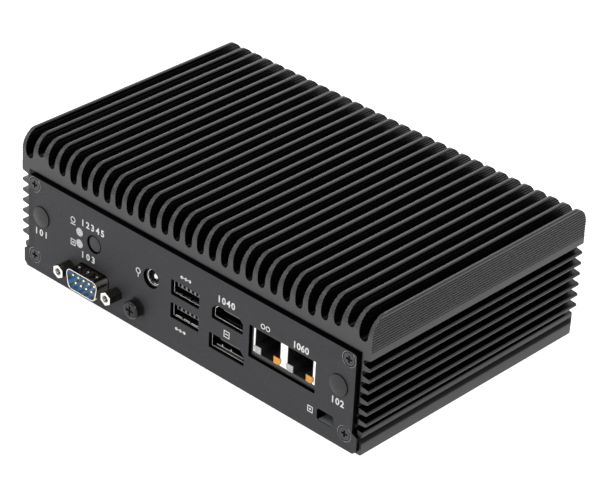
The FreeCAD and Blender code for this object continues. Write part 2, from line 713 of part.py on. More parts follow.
def bottom_cover():
    """The flat sheet between the feet of the two side walls."""
    half = WIDTH / 2 - COVER_INSET
    end = DEPTH / 2 - COVER_GAP
    plate = block(-half, half, -end, end, 0, COVER_THICKNESS)
    cutters = [countersunk_hole(x, y, 0, UP, COVER_THICKNESS + 1, COVER_SCREW_RADIUS, COVER_HEAD_RADIUS)
               for x, y in cover_screw_places()]
    cutters += [rod(x, y, -1, UP, BRACKET_NUT_SPIGOT + THREAD_CLEARANCE, COVER_THICKNESS + 2)
                for x, y in bracket_places()]
    return plate.cut(cutters)


def bracket_places():
    """Corners of the square of threaded bracket holes, as (x, y)."""
    half = BRACKET_SPAN / 2
    return [(x, y) for x in (-half, half) for y in (-half, half)]


def bottom_cover_screws():
    """The four countersunk screws of the bottom cover."""
    screw = countersunk_screw(COVER_SCREW_LENGTH, COVER_SCREW_RADIUS, COVER_HEAD_RADIUS)
    return group([stand(screw, x, y, 0, DOWN) for x, y in cover_screw_places()])


def mounting_nuts():
    """Press nuts in the bottom cover, threaded from below."""
    top = COVER_THICKNESS + BRACKET_NUT_HEIGHT
    profile = [(BRACKET_THREAD_RADIUS, 0, 0), (BRACKET_NUT_SPIGOT, 0, 0), (BRACKET_NUT_SPIGOT, COVER_THICKNESS, 0),
               (BRACKET_NUT_RADIUS, COVER_THICKNESS, 0), (BRACKET_NUT_RADIUS, top, 0), (BRACKET_THREAD_RADIUS, top, 0)]
    nut = turned(profile)
    return group([stand(nut, x, y, 0, UP) for x, y in bracket_places()])


# -------------------------------------------------- small fittings of the panel
def antenna_plug(x):
    """A blanking plug: low domed head, stem and a snap ring behind the panel."""
    head = [(0, PLUG_RIM + PLUG_CROWN), (PLUG_RADIUS, PLUG_RIM), (PLUG_RADIUS, 0)]
    ring = PANEL_THICKNESS + 0.1
    stem = [(PLUG_STEM_RADIUS, 0), (PLUG_STEM_RADIUS, -ring), (PLUG_STEM_RADIUS + PLUG_BARB, -ring),
            (PLUG_STEM_RADIUS, -PLUG_STEM_LENGTH), (0, -PLUG_STEM_LENGTH)]
    crown = V(0, 0, head[0][1])
    rim = V(PLUG_RADIUS, 0, PLUG_RIM)
    sag = (PLUG_CROWN ** 2 + PLUG_RADIUS ** 2) / (2 * PLUG_CROWN)
    half = PLUG_RADIUS / 2
    shoulder = V(half, 0, crown.z - sag + math.sqrt(sag ** 2 - half ** 2))
    edges = [Part.Arc(crown, shoulder, rim).toShape()]
    points = [V(r, 0, h) for r, h in head[1:] + stem] + [crown]
    edges += [Part.LineSegment(a, b).toShape() for a, b in zip(points, points[1:])]
    plug = Part.Face(Part.Wire(edges)).revolve(V(0, 0, 0), UP, 360)
    return stand(plug, x, PANEL_FACE, PLUG_Z, FORWARD)


def button_z():
    """Height of the power button's axis."""
    return BOARD_FOOT - BUTTON_DROP


def button_flange_front():
    """Y of the face of the button's flange that rests behind the panel."""
    return FRONT + BUTTON_FLANGE_GAP


def power_button():
    """Round cap with a keeping flange and a stem, facing forward."""
    flange = button_flange_front()
    face = PANEL_FACE + BUTTON_RECESS
    cap = turned([(0, 0, 0), (BUTTON_RADIUS, 0, BUTTON_EDGE), (BUTTON_RADIUS, face - flange, 0),
                  (0, face - flange, 0)])
    plate = Part.makeCylinder(BUTTON_FLANGE_RADIUS, BUTTON_FLANGE, V(0, 0, face - flange - BUTTON_FLANGE))
    stem = Part.makeCylinder(BUTTON_STEM_RADIUS, BUTTON_STEM_LENGTH,
                             V(0, 0, face - flange - BUTTON_FLANGE - BUTTON_STEM_LENGTH))
    return stand(joined([cap, plate, stem]), BUTTON_X, face, button_z(), FORWARD)


def power_switch():
    """Switch body under the board, bored for the button's stem."""
    front = button_flange_front() + BUTTON_FLANGE + SWITCH_GAP
    half = SWITCH_SIZE / 2
    z = button_z()
    body = block(BUTTON_X - half, BUTTON_X + half, front, front + SWITCH_DEPTH, z - half, BOARD_FOOT - SOLDER_GAP)
    bore_depth = BUTTON_STEM_LENGTH - SWITCH_GAP + BUTTON_TRAVEL + 0.5
    return body.cut(rod(BUTTON_X, front, z, REARWARD, BUTTON_STEM_RADIUS + BUTTON_STEM_PLAY, bore_depth))


def lamp_heights():
    """Heights of the two indicator lamps."""
    top = BOARD_FOOT - LAMP_DROP
    return [top, top - LAMP_PITCH]


def indicator_light_pipes():
    """Two clear rods whose front faces are the lamps."""
    return group([rod(LAMP_X, PANEL_FACE, z, REARWARD, LAMP_RADIUS, LAMP_LENGTH) for z in lamp_heights()])


def indicator_holder():
    """Block under the board that holds the two light pipes."""
    heights = lamp_heights()
    y0 = PANEL_FACE + LAMP_LENGTH - LAMP_HOLDER_DEPTH / 2
    wall = LAMP_RADIUS + LAMP_HOLDER_WALL
    body = block(LAMP_X - wall, LAMP_X + wall, y0, y0 + LAMP_HOLDER_DEPTH, heights[1] - wall, BOARD_FOOT - SOLDER_GAP)
    bores = [rod(LAMP_X, y0, z, REARWARD, LAMP_RADIUS + LAMP_PLAY, LAMP_HOLDER_DEPTH / 2) for z in heights]
    return body.cut(bores)


def ground_screw():
    """Pan-head screw that clamps an earth lead to the panel."""
    stack = GROUND_WASHER + GROUND_LOCK
    screw = pan_screw(GROUND_LENGTH, GROUND_HEAD_RADIUS, GROUND_HEAD_HEIGHT, GROUND_RADIUS, GROUND_HEAD_EDGE)
    return stand(screw, GROUND_X, PANEL_FACE - stack, GROUND_Z, FORWARD)


def washer(radius, thickness, y_rear):
    """A ring around the ground screw, its rear face at y_rear."""
    ring = rod(GROUND_X, y_rear, GROUND_Z, FORWARD, radius, thickness)
    return ring.cut(rod(GROUND_X, y_rear, GROUND_Z, FORWARD, GROUND_RADIUS + HOLE_CLEARANCE, thickness))


def ground_lock_washer():
    """Split spring washer under the screw head."""
    ring = washer(GROUND_LOCK_RADIUS, GROUND_LOCK, PANEL_FACE - GROUND_WASHER)
    slit = block(-0.3, 0.3, -GROUND_LOCK, GROUND_LOCK, 0, GROUND_LOCK_RADIUS + 1)
    slit.translate(V(GROUND_X, PANEL_FACE - GROUND_WASHER - GROUND_LOCK / 2, GROUND_Z))
    slit.rotate(V(GROUND_X, 0, GROUND_Z), REARWARD, 120)
    return ring.cut(slit)


def ground_nut():
    """Press nut behind the panel, for the ground screw."""
    ring = rod(GROUND_X, FRONT, GROUND_Z, REARWARD, GROUND_NUT_RADIUS, GROUND_NUT)
    return ring.cut(rod(GROUND_X, FRONT, GROUND_Z, REARWARD, GROUND_RADIUS + THREAD_CLEARANCE, GROUND_NUT))


# -------------------------------------------------------------- serial socket
def serial_prism(grow, y0, y1):
    """The D-shaped prism of the serial socket, grown on every side."""
    lean = math.tan(math.radians(SERIAL_SLANT)) * SERIAL_HEIGHT
    half = SERIAL_WIDTH / 2 + grow
    rise = SERIAL_HEIGHT / 2 + grow
    radius = SERIAL_CORNER + grow
    return section([(SERIAL_X - half, SERIAL_Z + rise, radius), (SERIAL_X + half, SERIAL_Z + rise, radius),
                    (SERIAL_X + half - lean, SERIAL_Z - rise, radius),
                    (SERIAL_X - half + lean, SERIAL_Z - rise, radius)], y0, y1)


def serial_flange_holes(radius):
    """Cutters for the two screw holes beside the serial socket."""
    y = FRONT - 1
    length = SERIAL_FLANGE + 2
    return [rod(SERIAL_X + side * SERIAL_SCREW_SPAN / 2, y, SERIAL_Z, REARWARD, radius, length) for side in (-1, 1)]


def serial_shell():
    """Drawn sleeve with its flange behind the panel."""
    rim = PANEL_FACE - SERIAL_REACH
    back = FRONT + SERIAL_FLANGE
    half_width = SERIAL_FLANGE_WIDTH / 2
    half_height = SERIAL_FLANGE_HEIGHT / 2
    flange = rounded_block(SERIAL_X - half_width, SERIAL_X + half_width, FRONT, back,
                           SERIAL_Z - half_height, SERIAL_Z + half_height, 1.0)
    outer = serial_prism(0, rim, back)
    inner = serial_prism(-SERIAL_METAL, rim - 1, back + 1)
    return joined([flange, outer]).cut([inner] + serial_flange_holes(SERIAL_SCREW_HOLE))


def serial_pin_places():
    """Five pins above and four below, as (x, z)."""
    places = []
    for count, z in ((5, SERIAL_ROW_PITCH / 2), (4, -SERIAL_ROW_PITCH / 2)):
        for index in range(count):
            places.append((SERIAL_X + (index - (count - 1) / 2) * SERIAL_PIN_PITCH, SERIAL_Z + z))
    return places


def serial_insert():
    """Moulded insert that carries the pins."""
    face = PANEL_FACE - SERIAL_REACH + SERIAL_FACE_DEPTH
    back = FRONT + SERIAL_FLANGE + SERIAL_BACK
    plug = serial_prism(-SERIAL_METAL - THREAD_CLEARANCE, face, FRONT + SERIAL_FLANGE)
    tail = serial_prism(SERIAL_METAL, FRONT + SERIAL_FLANGE, back)
    bores = [rod(x, face - 1, z, REARWARD, SERIAL_PIN_RADIUS + THREAD_CLEARANCE, back - face + 2)
             for x, z in serial_pin_places()]
    return joined([plug, tail]).cut(bores)


def serial_pins():
    """Nine round pins with rounded noses."""
    face = PANEL_FACE - SERIAL_REACH + SERIAL_FACE_DEPTH
    nose = face - SERIAL_PIN_REACH
    length = FRONT + SERIAL_FLANGE + SERIAL_BACK + SERIAL_PIN_TAIL - nose
    pin = turned([(0, 0, 0), (SERIAL_PIN_RADIUS, 0, SERIAL_PIN_RADIUS * 0.8), (SERIAL_PIN_RADIUS, -length, 0),
                  (0, -length, 0)])
    return group([stand(pin, x, nose, z, FORWARD) for x, z in serial_pin_places()])


def serial_jackscrews():
    """Two hexagonal screws, threaded in their outer ends for a plug's screws."""
    shank = PANEL_THICKNESS + SERIAL_FLANGE + 3.0
    body = hexagon(SERIAL_SCREW_ACROSS, SERIAL_SCREW_REACH)
    stem = Part.makeCylinder(SERIAL_SCREW_RADIUS, shank, V(0, 0, -shank))
    bore = Part.makeCylinder(SERIAL_SCREW_RADIUS, SERIAL_SCREW_TAP, V(0, 0, SERIAL_SCREW_REACH - SERIAL_SCREW_TAP))
    screw = joined([body, stem]).cut(bore)
    return group([stand(screw, SERIAL_X + side * SERIAL_SCREW_SPAN / 2, PANEL_FACE, SERIAL_Z, FORWARD)
                  for side in (-1, 1)])


def ribbon_start():
    """Where the ribbon leaves the serial socket, as Y."""
    return FRONT + SERIAL_FLANGE + SERIAL_BACK + SERIAL_PIN_TAIL


def serial_plug_top():
    """Height where the ribbon's plug ends in its header."""
    return BOARD_FOOT - SOLDER_GAP - HEADER_HEIGHT + HEADER_LAP


def ribbon_plug_y():
    """Y of the ribbon plug's middle."""
    return ribbon_start() + RIBBON_RUN + RIBBON_BEND


def serial_ribbon():
    """Flat ribbon from the serial socket back and up to the board."""
    y0 = ribbon_start()
    y1 = ribbon_plug_y()
    top = serial_plug_top() - RIBBON_PLUG_HEIGHT
    low = SERIAL_Z - RIBBON / 2
    inner = RIBBON_BEND - RIBBON / 2
    outer = RIBBON_BEND + RIBBON / 2
    corners = [(V(0, y0, low), 0), (V(0, y1 + RIBBON / 2, low), outer), (V(0, y1 + RIBBON / 2, top), 0),
               (V(0, y1 - RIBBON / 2, top), 0), (V(0, y1 - RIBBON / 2, low + RIBBON), inner),
               (V(0, y0, low + RIBBON), 0)]
    face = rounded_face(corners)
    face.translate(V(SERIAL_X - RIBBON_WIDTH / 2, 0, 0))
    return face.extrude(V(RIBBON_WIDTH, 0, 0))


def serial_plug():
    """Ribbon's plug, seated in the header under the board."""
    top = serial_plug_top()
    y = ribbon_plug_y()
    return block(SERIAL_X - RIBBON_PLUG_WIDTH / 2, SERIAL_X + RIBBON_PLUG_WIDTH / 2,
                 y - RIBBON_PLUG_DEPTH / 2, y + RIBBON_PLUG_DEPTH / 2, top - RIBBON_PLUG_HEIGHT, top)


def serial_header():
    """Boxed header that hangs under the board and takes the ribbon's plug."""
    y = ribbon_plug_y()
    width = RIBBON_PLUG_WIDTH / 2 + LAMP_PLAY
    depth = RIBBON_PLUG_DEPTH / 2 + LAMP_PLAY
    body = hung(SERIAL_X, 2 * (width + HEADER_WALL), y - depth - HEADER_WALL, y + depth + HEADER_WALL,
                SOLDER_GAP, HEADER_HEIGHT)
    foot = BOARD_FOOT - SOLDER_GAP - HEADER_HEIGHT
    return body.cut(block(SERIAL_X - width, SERIAL_X + width, y - depth, y + depth, foot - 1,
                          foot + HEADER_LAP + THREAD_CLEARANCE))


# ---------------------------------------------------------------- power inlet
def jack_z():
    """Height of the power inlet's axis."""
    return BOARD_FOOT - JACK_DROP


def power_jack_body():
    """Moulded inlet: a box with a round collar in the panel's hole."""
    z = jack_z()
    half = JACK_WIDTH / 2
    body = block(JACK_X - half, JACK_X + half, FRONT, FRONT + JACK_DEPTH, z - half, BOARD_FOOT - SOLDER_GAP)
    collar = rod(JACK_X, SOCKET_FACE, z, REARWARD, JACK_COLLAR, FRONT - SOCKET_FACE)
    bore = rod(JACK_X, SOCKET_FACE - 1, z, REARWARD, JACK_BORE, JACK_BORE_DEPTH + 1)
    return joined([body, collar]).cut(bore)


def power_jack_sleeve():
    """Sprung metal lining of the inlet's bore."""
    z = jack_z()
    start = SOCKET_FACE + JACK_SLEEVE
    length = JACK_BORE_DEPTH - JACK_SLEEVE - THREAD_CLEARANCE
    outer = JACK_BORE - THREAD_CLEARANCE
    tube = rod(JACK_X, start, z, REARWARD, outer, length)
    tube = tube.cut(rod(JACK_X, start, z, REARWARD, outer - JACK_SLEEVE, length))
    slit = block(JACK_X - 0.5, JACK_X + 0.5, start - 1, start + length + 1, z, z + JACK_BORE + 1)
    return tube.cut(slit)


def power_jack_pin():
    """Centre pin of the inlet."""
    start = SOCKET_FACE + JACK_PIN_SETBACK
    length = JACK_BORE_DEPTH - JACK_PIN_SETBACK
    pin = turned([(0, 0, 0), (JACK_PIN_RADIUS, 0, JACK_PIN_RADIUS * 0.6), (JACK_PIN_RADIUS, -length, 0),
                  (0, -length, 0)])
    return stand(pin, JACK_X, start, jack_z(), FORWARD)


# --------------------------------------------------------------- data sockets
def socket_opening(x, z, width, height, y0, y1):
    """Panel cut-out around a rectangular socket."""
    half = width / 2 + SOCKET_PLAY
    rise = height / 2 + SOCKET_PLAY
    return rounded_block(x - half, x + half, y0, y1, z - rise, z + rise, SOCKET_PLAY)


def data_heights():
    """Heights of the two data sockets."""
    top = BOARD_FOOT - DATA_DROP
    return [top, top - DATA_PITCH]


def data_socket_shell():
    """Folded sleeve: two tunnels between two long side cheeks."""
    heights = data_heights()
    half = DATA_WIDTH / 2
    rise = DATA_HEIGHT / 2
    shapes = []
    for side in (-1, 1):
        x = DATA_X + side * (half - METAL / 2)
        shapes.append(block(x - METAL / 2, x + METAL / 2, FRONT + SOLDER_GAP, SOCKET_FACE + DATA_DEPTH,
                            heights[1] - rise, heights[0] + rise))
    for z in heights:
        outer = block(DATA_X - half, DATA_X + half, SOCKET_FACE, SOCKET_FACE + DATA_TUNNEL, z - rise, z + rise)
        shapes.append(outer)
    inner = [block(DATA_X - half + METAL, DATA_X + half - METAL, SOCKET_FACE - 1, SOCKET_FACE + DATA_TUNNEL + 1,
                   z - rise + METAL, z + rise - METAL) for z in heights]
    return joined(shapes).cut(inner)


def data_socket_insert():
    """Moulded rear block with the two contact tongues."""
    heights = data_heights()
    half = DATA_WIDTH / 2 - METAL - THREAD_CLEARANCE
    rise = DATA_HEIGHT / 2
    start = SOCKET_FACE + DATA_TUNNEL + THREAD_CLEARANCE
    shapes = [block(DATA_X - half, DATA_X + half, start, SOCKET_FACE + DATA_DEPTH,
                    heights[1] - rise, BOARD_FOOT - SOLDER_GAP)]
    notches = []
    for z in heights:
        low = z + DATA_TONGUE_RISE - DATA_TONGUE / 2
        tip = start - DATA_TONGUE_LENGTH
        shapes.append(block(DATA_X - DATA_TONGUE_WIDTH / 2, DATA_X + DATA_TONGUE_WIDTH / 2, tip, start + 1,
                            low, low + DATA_TONGUE))
        for index in range(DATA_NOTCH_COUNT):
            x = DATA_X + (index - (DATA_NOTCH_COUNT - 1) / 2) * DATA_NOTCH_PITCH
            notches.append(block(x - DATA_NOTCH / 2, x + DATA_NOTCH / 2, tip - 1, tip + DATA_NOTCH_LENGTH,
                                 low + DATA_TONGUE - DATA_NOTCH_DEPTH, low + DATA_TONGUE + 1))
    return joined(shapes).cut(notches)


def data_socket_contacts():
    """Four flat contacts under each tongue."""
    shapes = []
    for z in data_heights():
        top = z + DATA_TONGUE_RISE - DATA_TONGUE / 2
        start = SOCKET_FACE + DATA_TUNNEL - DATA_TONGUE_LENGTH + 1.0
        for index in range(4):
            x = DATA_X + (index - 1.5) * DATA_NOTCH_PITCH
            shapes.append(block(x - 0.5, x + 0.5, start, start + DATA_TONGUE_LENGTH - 2, top - 0.25, top))
    return group(shapes)


# -------------------------------------------------------------- video sockets
def video_upper():
    """Height, size and the two upper corner cuts of the upper video socket."""
    return (BOARD_FOOT - VIDEO_UPPER_DROP, VIDEO_UPPER_WIDTH, VIDEO_UPPER_HEIGHT,
            VIDEO_UPPER_CHAMFER, VIDEO_UPPER_CHAMFER)


def video_lower():
    """Height, size and the two upper corner cuts of the lower video socket."""
    return (BOARD_FOOT - VIDEO_LOWER_DROP, VIDEO_LOWER_WIDTH, VIDEO_LOWER_HEIGHT, 0, VIDEO_LOWER_CHAMFER)


def video_corners(z, width, height, left_cut, right_cut, grow=0.0):
    """Outline of a video socket with its cut upper corners."""
    half = width / 2 + grow
    rise = height / 2 + grow
    keep = grow * (2 - math.sqrt(2))
    left = max(left_cut + (keep if left_cut else 0), 0)
    right = max(right_cut + (keep if right_cut else 0), 0)
    corners = [(VIDEO_X - half, z - rise, 0.4), (VIDEO_X + half, z - rise, 0.4)]
    if right:
        corners += [(VIDEO_X + half, z + rise - right, 0), (VIDEO_X + half - right, z + rise, 0)]
    else:
        corners.append((VIDEO_X + half, z + rise, 0.4))
    if left:
        corners += [(VIDEO_X - half + left, z + rise, 0), (VIDEO_X - half, z + rise - left, 0)]
    else:
        corners.append((VIDEO_X - half, z + rise, 0.4))
    return corners


def video_shell(form):
    """Folded sleeve of one video socket."""
    outer = section(video_corners(*form), SOCKET_FACE, SOCKET_FACE + VIDEO_TUNNEL)
    inner = section(video_corners(*form, grow=-METAL), SOCKET_FACE - 1, SOCKET_FACE + VIDEO_TUNNEL + 1)
    return outer.cut(inner)


def video_tongue(form):
    """Contact tongue of one video socket, with a rear plate in its sleeve."""
    z, width = form[0], form[1]
    rear = SOCKET_FACE + VIDEO_TUNNEL
    plate = section(video_corners(*form, grow=-METAL - THREAD_CLEARANCE), rear - 1.5, rear)
    half = width / 2 - METAL - VIDEO_TONGUE_SIDE
    blade = block(VIDEO_X - half, VIDEO_X + half, rear - 1.5 - VIDEO_TONGUE_LENGTH, rear - 1,
                  z - VIDEO_TONGUE / 2, z + VIDEO_TONGUE / 2)
    return joined([plate, blade])


def video_socket_carrier():
    """Moulded block that carries both video sleeves under the board."""
    lower_z, _, height = video_lower()[:3]
    half = VIDEO_CARRIER_WIDTH / 2
    foot = lower_z - height / 2 - VIDEO_CARRIER_WALL
    body = block(VIDEO_X - half, VIDEO_X + half, FRONT + SOLDER_GAP, SOCKET_FACE + VIDEO_DEPTH,
                 foot, BOARD_FOOT - SOLDER_GAP)
    rear = SOCKET_FACE + VIDEO_TUNNEL + THREAD_CLEARANCE
    pockets = [section(video_corners(*form, grow=THREAD_CLEARANCE), FRONT - 1, rear)
               for form in (video_upper(), video_lower())]
    return body.cut(pockets)


# ------------------------------------------------------------ network sockets
def network_top():
    """Top of the network socket's shield."""
    return BOARD_FOOT - NETWORK_DROP


def network_ports():
    """Middles of the two network ports."""
    return [NETWORK_X - NETWORK_PORT_PITCH / 2, NETWORK_X + NETWORK_PORT_PITCH / 2]


def port_corners(x, grow=0.0):
    """Outline of a port: a wide mouth with the latch channel under it."""
    top = network_top() - NETWORK_PORT_TOP
    knee = top - NETWORK_PORT_HEIGHT
    foot = knee - NETWORK_LATCH_HEIGHT
    half = NETWORK_PORT_WIDTH / 2 + grow
    latch = NETWORK_LATCH_WIDTH / 2 + grow
    return [(x - half, top + grow, 0), (x - half, knee - grow, 0), (x - latch, knee - grow, 0),
            (x - latch, foot - grow, 0), (x + latch, foot - grow, 0), (x + latch, knee - grow, 0),
            (x + half, knee - grow, 0), (x + half, top + grow, 0)]


def lamp_window(x, side, play, y0, y1):
    """Prism of one port lamp; side is -1 on the left and 1 on the right."""
    top = network_top() - NETWORK_PORT_TOP - NETWORK_PORT_HEIGHT - 0.5
    inner = x + side * (NETWORK_LATCH_WIDTH / 2 + 0.35)
    outer = inner + side * NETWORK_LAMP_WIDTH
    low, high = min(inner, outer) - play, max(inner, outer) + play
    foot = top - NETWORK_LAMP_HEIGHT
    bevel = 0.8
    corners = [(low, top + play, 0), (high, top + play, 0), (high, foot - play, bevel if side > 0 else 0.2),
               (low, foot - play, bevel if side < 0 else 0.2)]
    return section(corners, y0, y1)


def network_shield():
    """Folded shield around the double socket, with its windowed front."""
    half = NETWORK_WIDTH / 2
    top = network_top()
    foot = top - NETWORK_HEIGHT
    y0, y1 = SOCKET_FACE, SOCKET_FACE + NETWORK_DEPTH
    outer = block(NETWORK_X - half, NETWORK_X + half, y0, y1, foot, top)
    inner = block(NETWORK_X - half + METAL, NETWORK_X + half - METAL, y0 + METAL, y1 + 1,
                  foot + METAL, top - METAL)
    windows = [section(port_corners(x), y0 - 1, y0 + 1) for x in network_ports()]
    windows += [lamp_window(x, side, 0.05, y0 - 1, y0 + 1) for x in network_ports() for side in (-1, 1)]
    return outer.cut([inner] + windows)


def network_housing():
    """Moulded housing with both port cavities."""
    half = NETWORK_WIDTH / 2 - METAL - THREAD_CLEARANCE
    top = network_top() - METAL - THREAD_CLEARANCE
    foot = network_top() - NETWORK_HEIGHT + METAL + THREAD_CLEARANCE
    y0 = SOCKET_FACE + METAL + THREAD_CLEARANCE
    body = block(NETWORK_X - half, NETWORK_X + half, y0, SOCKET_FACE + NETWORK_DEPTH, foot, top)
    cavities = [section(port_corners(x), y0 - 1, y0 + NETWORK_PORT_DEPTH) for x in network_ports()]
    cavities += [lamp_window(x, side, 0.05, y0 - 1, SOCKET_FACE + NETWORK_LAMP_LENGTH)
                 for x in network_ports() for side in (-1, 1)]
    return body.cut(cavities)


def network_contacts():
    """Eight sprung wires that lean down into each port."""
    shapes = []
    top = network_top() - NETWORK_PORT_TOP
    start = SOCKET_FACE + METAL + NETWORK_PORT_DEPTH
    for port in network_ports():
        for index in range(8):
            x = port + (index - 3.5) * NETWORK_CONTACT_PITCH
            wire = block(x - NETWORK_CONTACT / 2, x + NETWORK_CONTACT / 2, start - NETWORK_CONTACT_LENGTH, start,
                         top - 1.4, top - 1.4 + NETWORK_CONTACT)
            wire.rotate(V(x, start, top - 1.4), V(1, 0, 0), NETWORK_CONTACT_LEAN)
            shapes.append(wire)
    return group(shapes)


def network_lamps(side):
    """Light pipes at one lower corner of both ports."""
    return group([lamp_window(x, side, 0, SOCKET_FACE, SOCKET_FACE + NETWORK_LAMP_LENGTH) for x in network_ports()])


# ------------------------------------------------- mainboard and what it bears
def mainboard():
    """The board with its four screw holes."""
    half = BOARD_WIDTH / 2
    plate = upright_block(-half, half, BOARD_FRONT, BOARD_REAR, BOARD_FOOT, BOARD_TOP, BOARD_CORNER)
    holes = [rod(x, y, BOARD_FOOT - 1, UP, SCREW_RADIUS + HOLE_CLEARANCE, BOARD_THICKNESS + 2)
             for x, y in standoff_places() + [storage_post_place()]]
    return plate.cut(holes)


def board_standoffs():
    """Hexagonal posts that hold the board under the ceiling."""
    tap = SCREW_RADIUS + THREAD_CLEARANCE
    post = hexagon(STANDOFF_ACROSS, BOARD_DROP)
    stud = Part.makeCylinder(SCREW_RADIUS, CEILING_TAP_DEPTH - 0.5, V(0, 0, BOARD_DROP))
    bore = Part.makeCylinder(tap, STANDOFF_TAP)
    shape = joined([post, stud]).cut(bore)
    return group([stand(shape, x, y, BOARD_TOP, UP) for x, y in standoff_places()])


def board_screws():
    """Pan-head screws that hold the board to its standoffs."""
    screw = pan_screw(BOARD_SCREW_LENGTH)
    return group([stand(screw, x, y, BOARD_FOOT, DOWN) for x, y in standoff_places()])


def processor():
    """Processor package with its bare die."""
    top = BOARD_TOP + PROCESSOR_BASE
    base = block(PROCESSOR_X - PROCESSOR_WIDTH / 2, PROCESSOR_X + PROCESSOR_WIDTH / 2,
                 PROCESSOR_Y - PROCESSOR_DEPTH / 2, PROCESSOR_Y + PROCESSOR_DEPTH / 2, BOARD_TOP, top)
    die = block(PROCESSOR_X - DIE_WIDTH / 2, PROCESSOR_X + DIE_WIDTH / 2,
                PROCESSOR_Y - DIE_DEPTH / 2, PROCESSOR_Y + DIE_DEPTH / 2, top, top + DIE_HEIGHT)
    return joined([base, die])


def pad_foot():
    """Height of the die's face."""
    return BOARD_TOP + PROCESSOR_BASE + DIE_HEIGHT


def thermal_pad():
    """Soft heat-conducting pad between the die and the heat block."""
    half_x = DIE_WIDTH / 2 + PAD_MARGIN
    half_y = DIE_DEPTH / 2 + PAD_MARGIN
    return block(PROCESSOR_X - half_x, PROCESSOR_X + half_x, PROCESSOR_Y - half_y, PROCESSOR_Y + half_y,
                 pad_foot(), pad_foot() + PAD_THICKNESS)


def heat_block():
    """Aluminium block that carries the heat from the die to the ceiling."""
    foot = pad_foot() + PAD_THICKNESS
    body = block(PROCESSOR_X - HEAT_BLOCK_WIDTH / 2, PROCESSOR_X + HEAT_BLOCK_WIDTH / 2,
                 PROCESSOR_Y - HEAT_BLOCK_DEPTH / 2, PROCESSOR_Y + HEAT_BLOCK_DEPTH / 2, foot, CEILING)
    head = SCREW_HEAD_RADIUS + HOLE_CLEARANCE
    cutters = [rod(x, y, foot - 1, UP, SCREW_RADIUS + HOLE_CLEARANCE, CEILING - foot + 2)
               for x, y in heat_block_places()]
    cutters += [rod(x, y, foot - 1, UP, head, CEILING - HEAT_BLOCK_SCREW_GRIP - foot + 1)
                for x, y in heat_block_places()]
    return body.cut(cutters)


def heat_block_screws():
    """Screws that pull the heat block against the ceiling."""
    screw = pan_screw(HEAT_BLOCK_SCREW_LENGTH)
    z = CEILING - HEAT_BLOCK_SCREW_GRIP
    return group([stand(screw, x, y, z, DOWN) for x, y in heat_block_places()])


def memory_socket():
    """Edge socket that takes the memory module's front edge."""
    front = MEMORY_Y - MEMORY_DEPTH / 2
    body = hung(MEMORY_X, MEMORY_WIDTH + 4, front - MEMORY_SOCKET_DEPTH + MEMORY_SOCKET_LAP,
                front + MEMORY_SOCKET_LAP, 0, MEMORY_SOCKET_HEIGHT)
    return body.cut(hung(MEMORY_X, MEMORY_WIDTH + 0.2, front - THREAD_CLEARANCE, front + MEMORY_SOCKET_LAP + 1,
                         MEMORY_DROP - THREAD_CLEARANCE, MEMORY_THICKNESS + 2 * THREAD_CLEARANCE))


def memory_module():
    """Memory board with its row of chips underneath."""
    y0 = MEMORY_Y - MEMORY_DEPTH / 2
    plate = hung(MEMORY_X, MEMORY_WIDTH, y0, y0 + MEMORY_DEPTH, MEMORY_DROP, MEMORY_THICKNESS)
    pitch = MEMORY_WIDTH / MEMORY_CHIPS
    y = MEMORY_Y + MEMORY_CHIP_DEPTH / 2
    chips = [hung(MEMORY_X + (index - (MEMORY_CHIPS - 1) / 2) * pitch, MEMORY_CHIP_WIDTH,
                  y - MEMORY_CHIP_DEPTH / 2, y + MEMORY_CHIP_DEPTH / 2,
                  MEMORY_DROP + MEMORY_THICKNESS, MEMORY_CHIP_HEIGHT) for index in range(MEMORY_CHIPS)]
    return joined([plate] + chips)


def storage_socket():
    """Edge socket of the storage module."""
    body = hung(STORAGE_X, STORAGE_WIDTH, STORAGE_Y - STORAGE_SOCKET_DEPTH + STORAGE_SOCKET_LAP,
                STORAGE_Y + STORAGE_SOCKET_LAP, 0, STORAGE_SOCKET_HEIGHT)
    return body.cut(hung(STORAGE_X, STORAGE_WIDTH + 1, STORAGE_Y - THREAD_CLEARANCE,
                         STORAGE_Y + STORAGE_SOCKET_LAP + 1,
                         STORAGE_DROP - THREAD_CLEARANCE, STORAGE_THICKNESS + 2 * THREAD_CLEARANCE))


def storage_post_place():
    """Where the storage module's post stands, as (x, y)."""
    return STORAGE_X, STORAGE_Y + STORAGE_LENGTH


def storage_module():
    """Storage board with two chips, notched for its post."""
    y0, y1 = STORAGE_Y, STORAGE_Y + STORAGE_LENGTH
    plate = hung(STORAGE_X, STORAGE_WIDTH, y0, y1, STORAGE_DROP, STORAGE_THICKNESS)
    size = STORAGE_WIDTH * 0.6
    chips = [hung(STORAGE_X, size, y - size / 2, y + size / 2, STORAGE_DROP + STORAGE_THICKNESS, STORAGE_CHIP)
             for y in (y0 + STORAGE_LENGTH * 0.3, y0 + STORAGE_LENGTH * 0.7)]
    notch = rod(*storage_post_place(), BOARD_FOOT - STORAGE_DROP - STORAGE_THICKNESS - 1, UP,
                SCREW_RADIUS + HOLE_CLEARANCE, STORAGE_THICKNESS + 2)
    return joined([plate] + chips).cut(notch)


def storage_post():
    """Round post and its screw head at the storage module's free end."""
    x, y = storage_post_place()
    plate_foot = BOARD_FOOT - STORAGE_DROP - STORAGE_THICKNESS
    post = rod(x, y, BOARD_FOOT, DOWN, STORAGE_POST_RADIUS, STORAGE_DROP)
    stud = rod(x, y, BOARD_TOP, DOWN, SCREW_RADIUS, BOARD_TOP - plate_foot)
    head = rod(x, y, plate_foot, DOWN, STORAGE_POST_RADIUS, 1.0)
    return joined([post, stud, head])


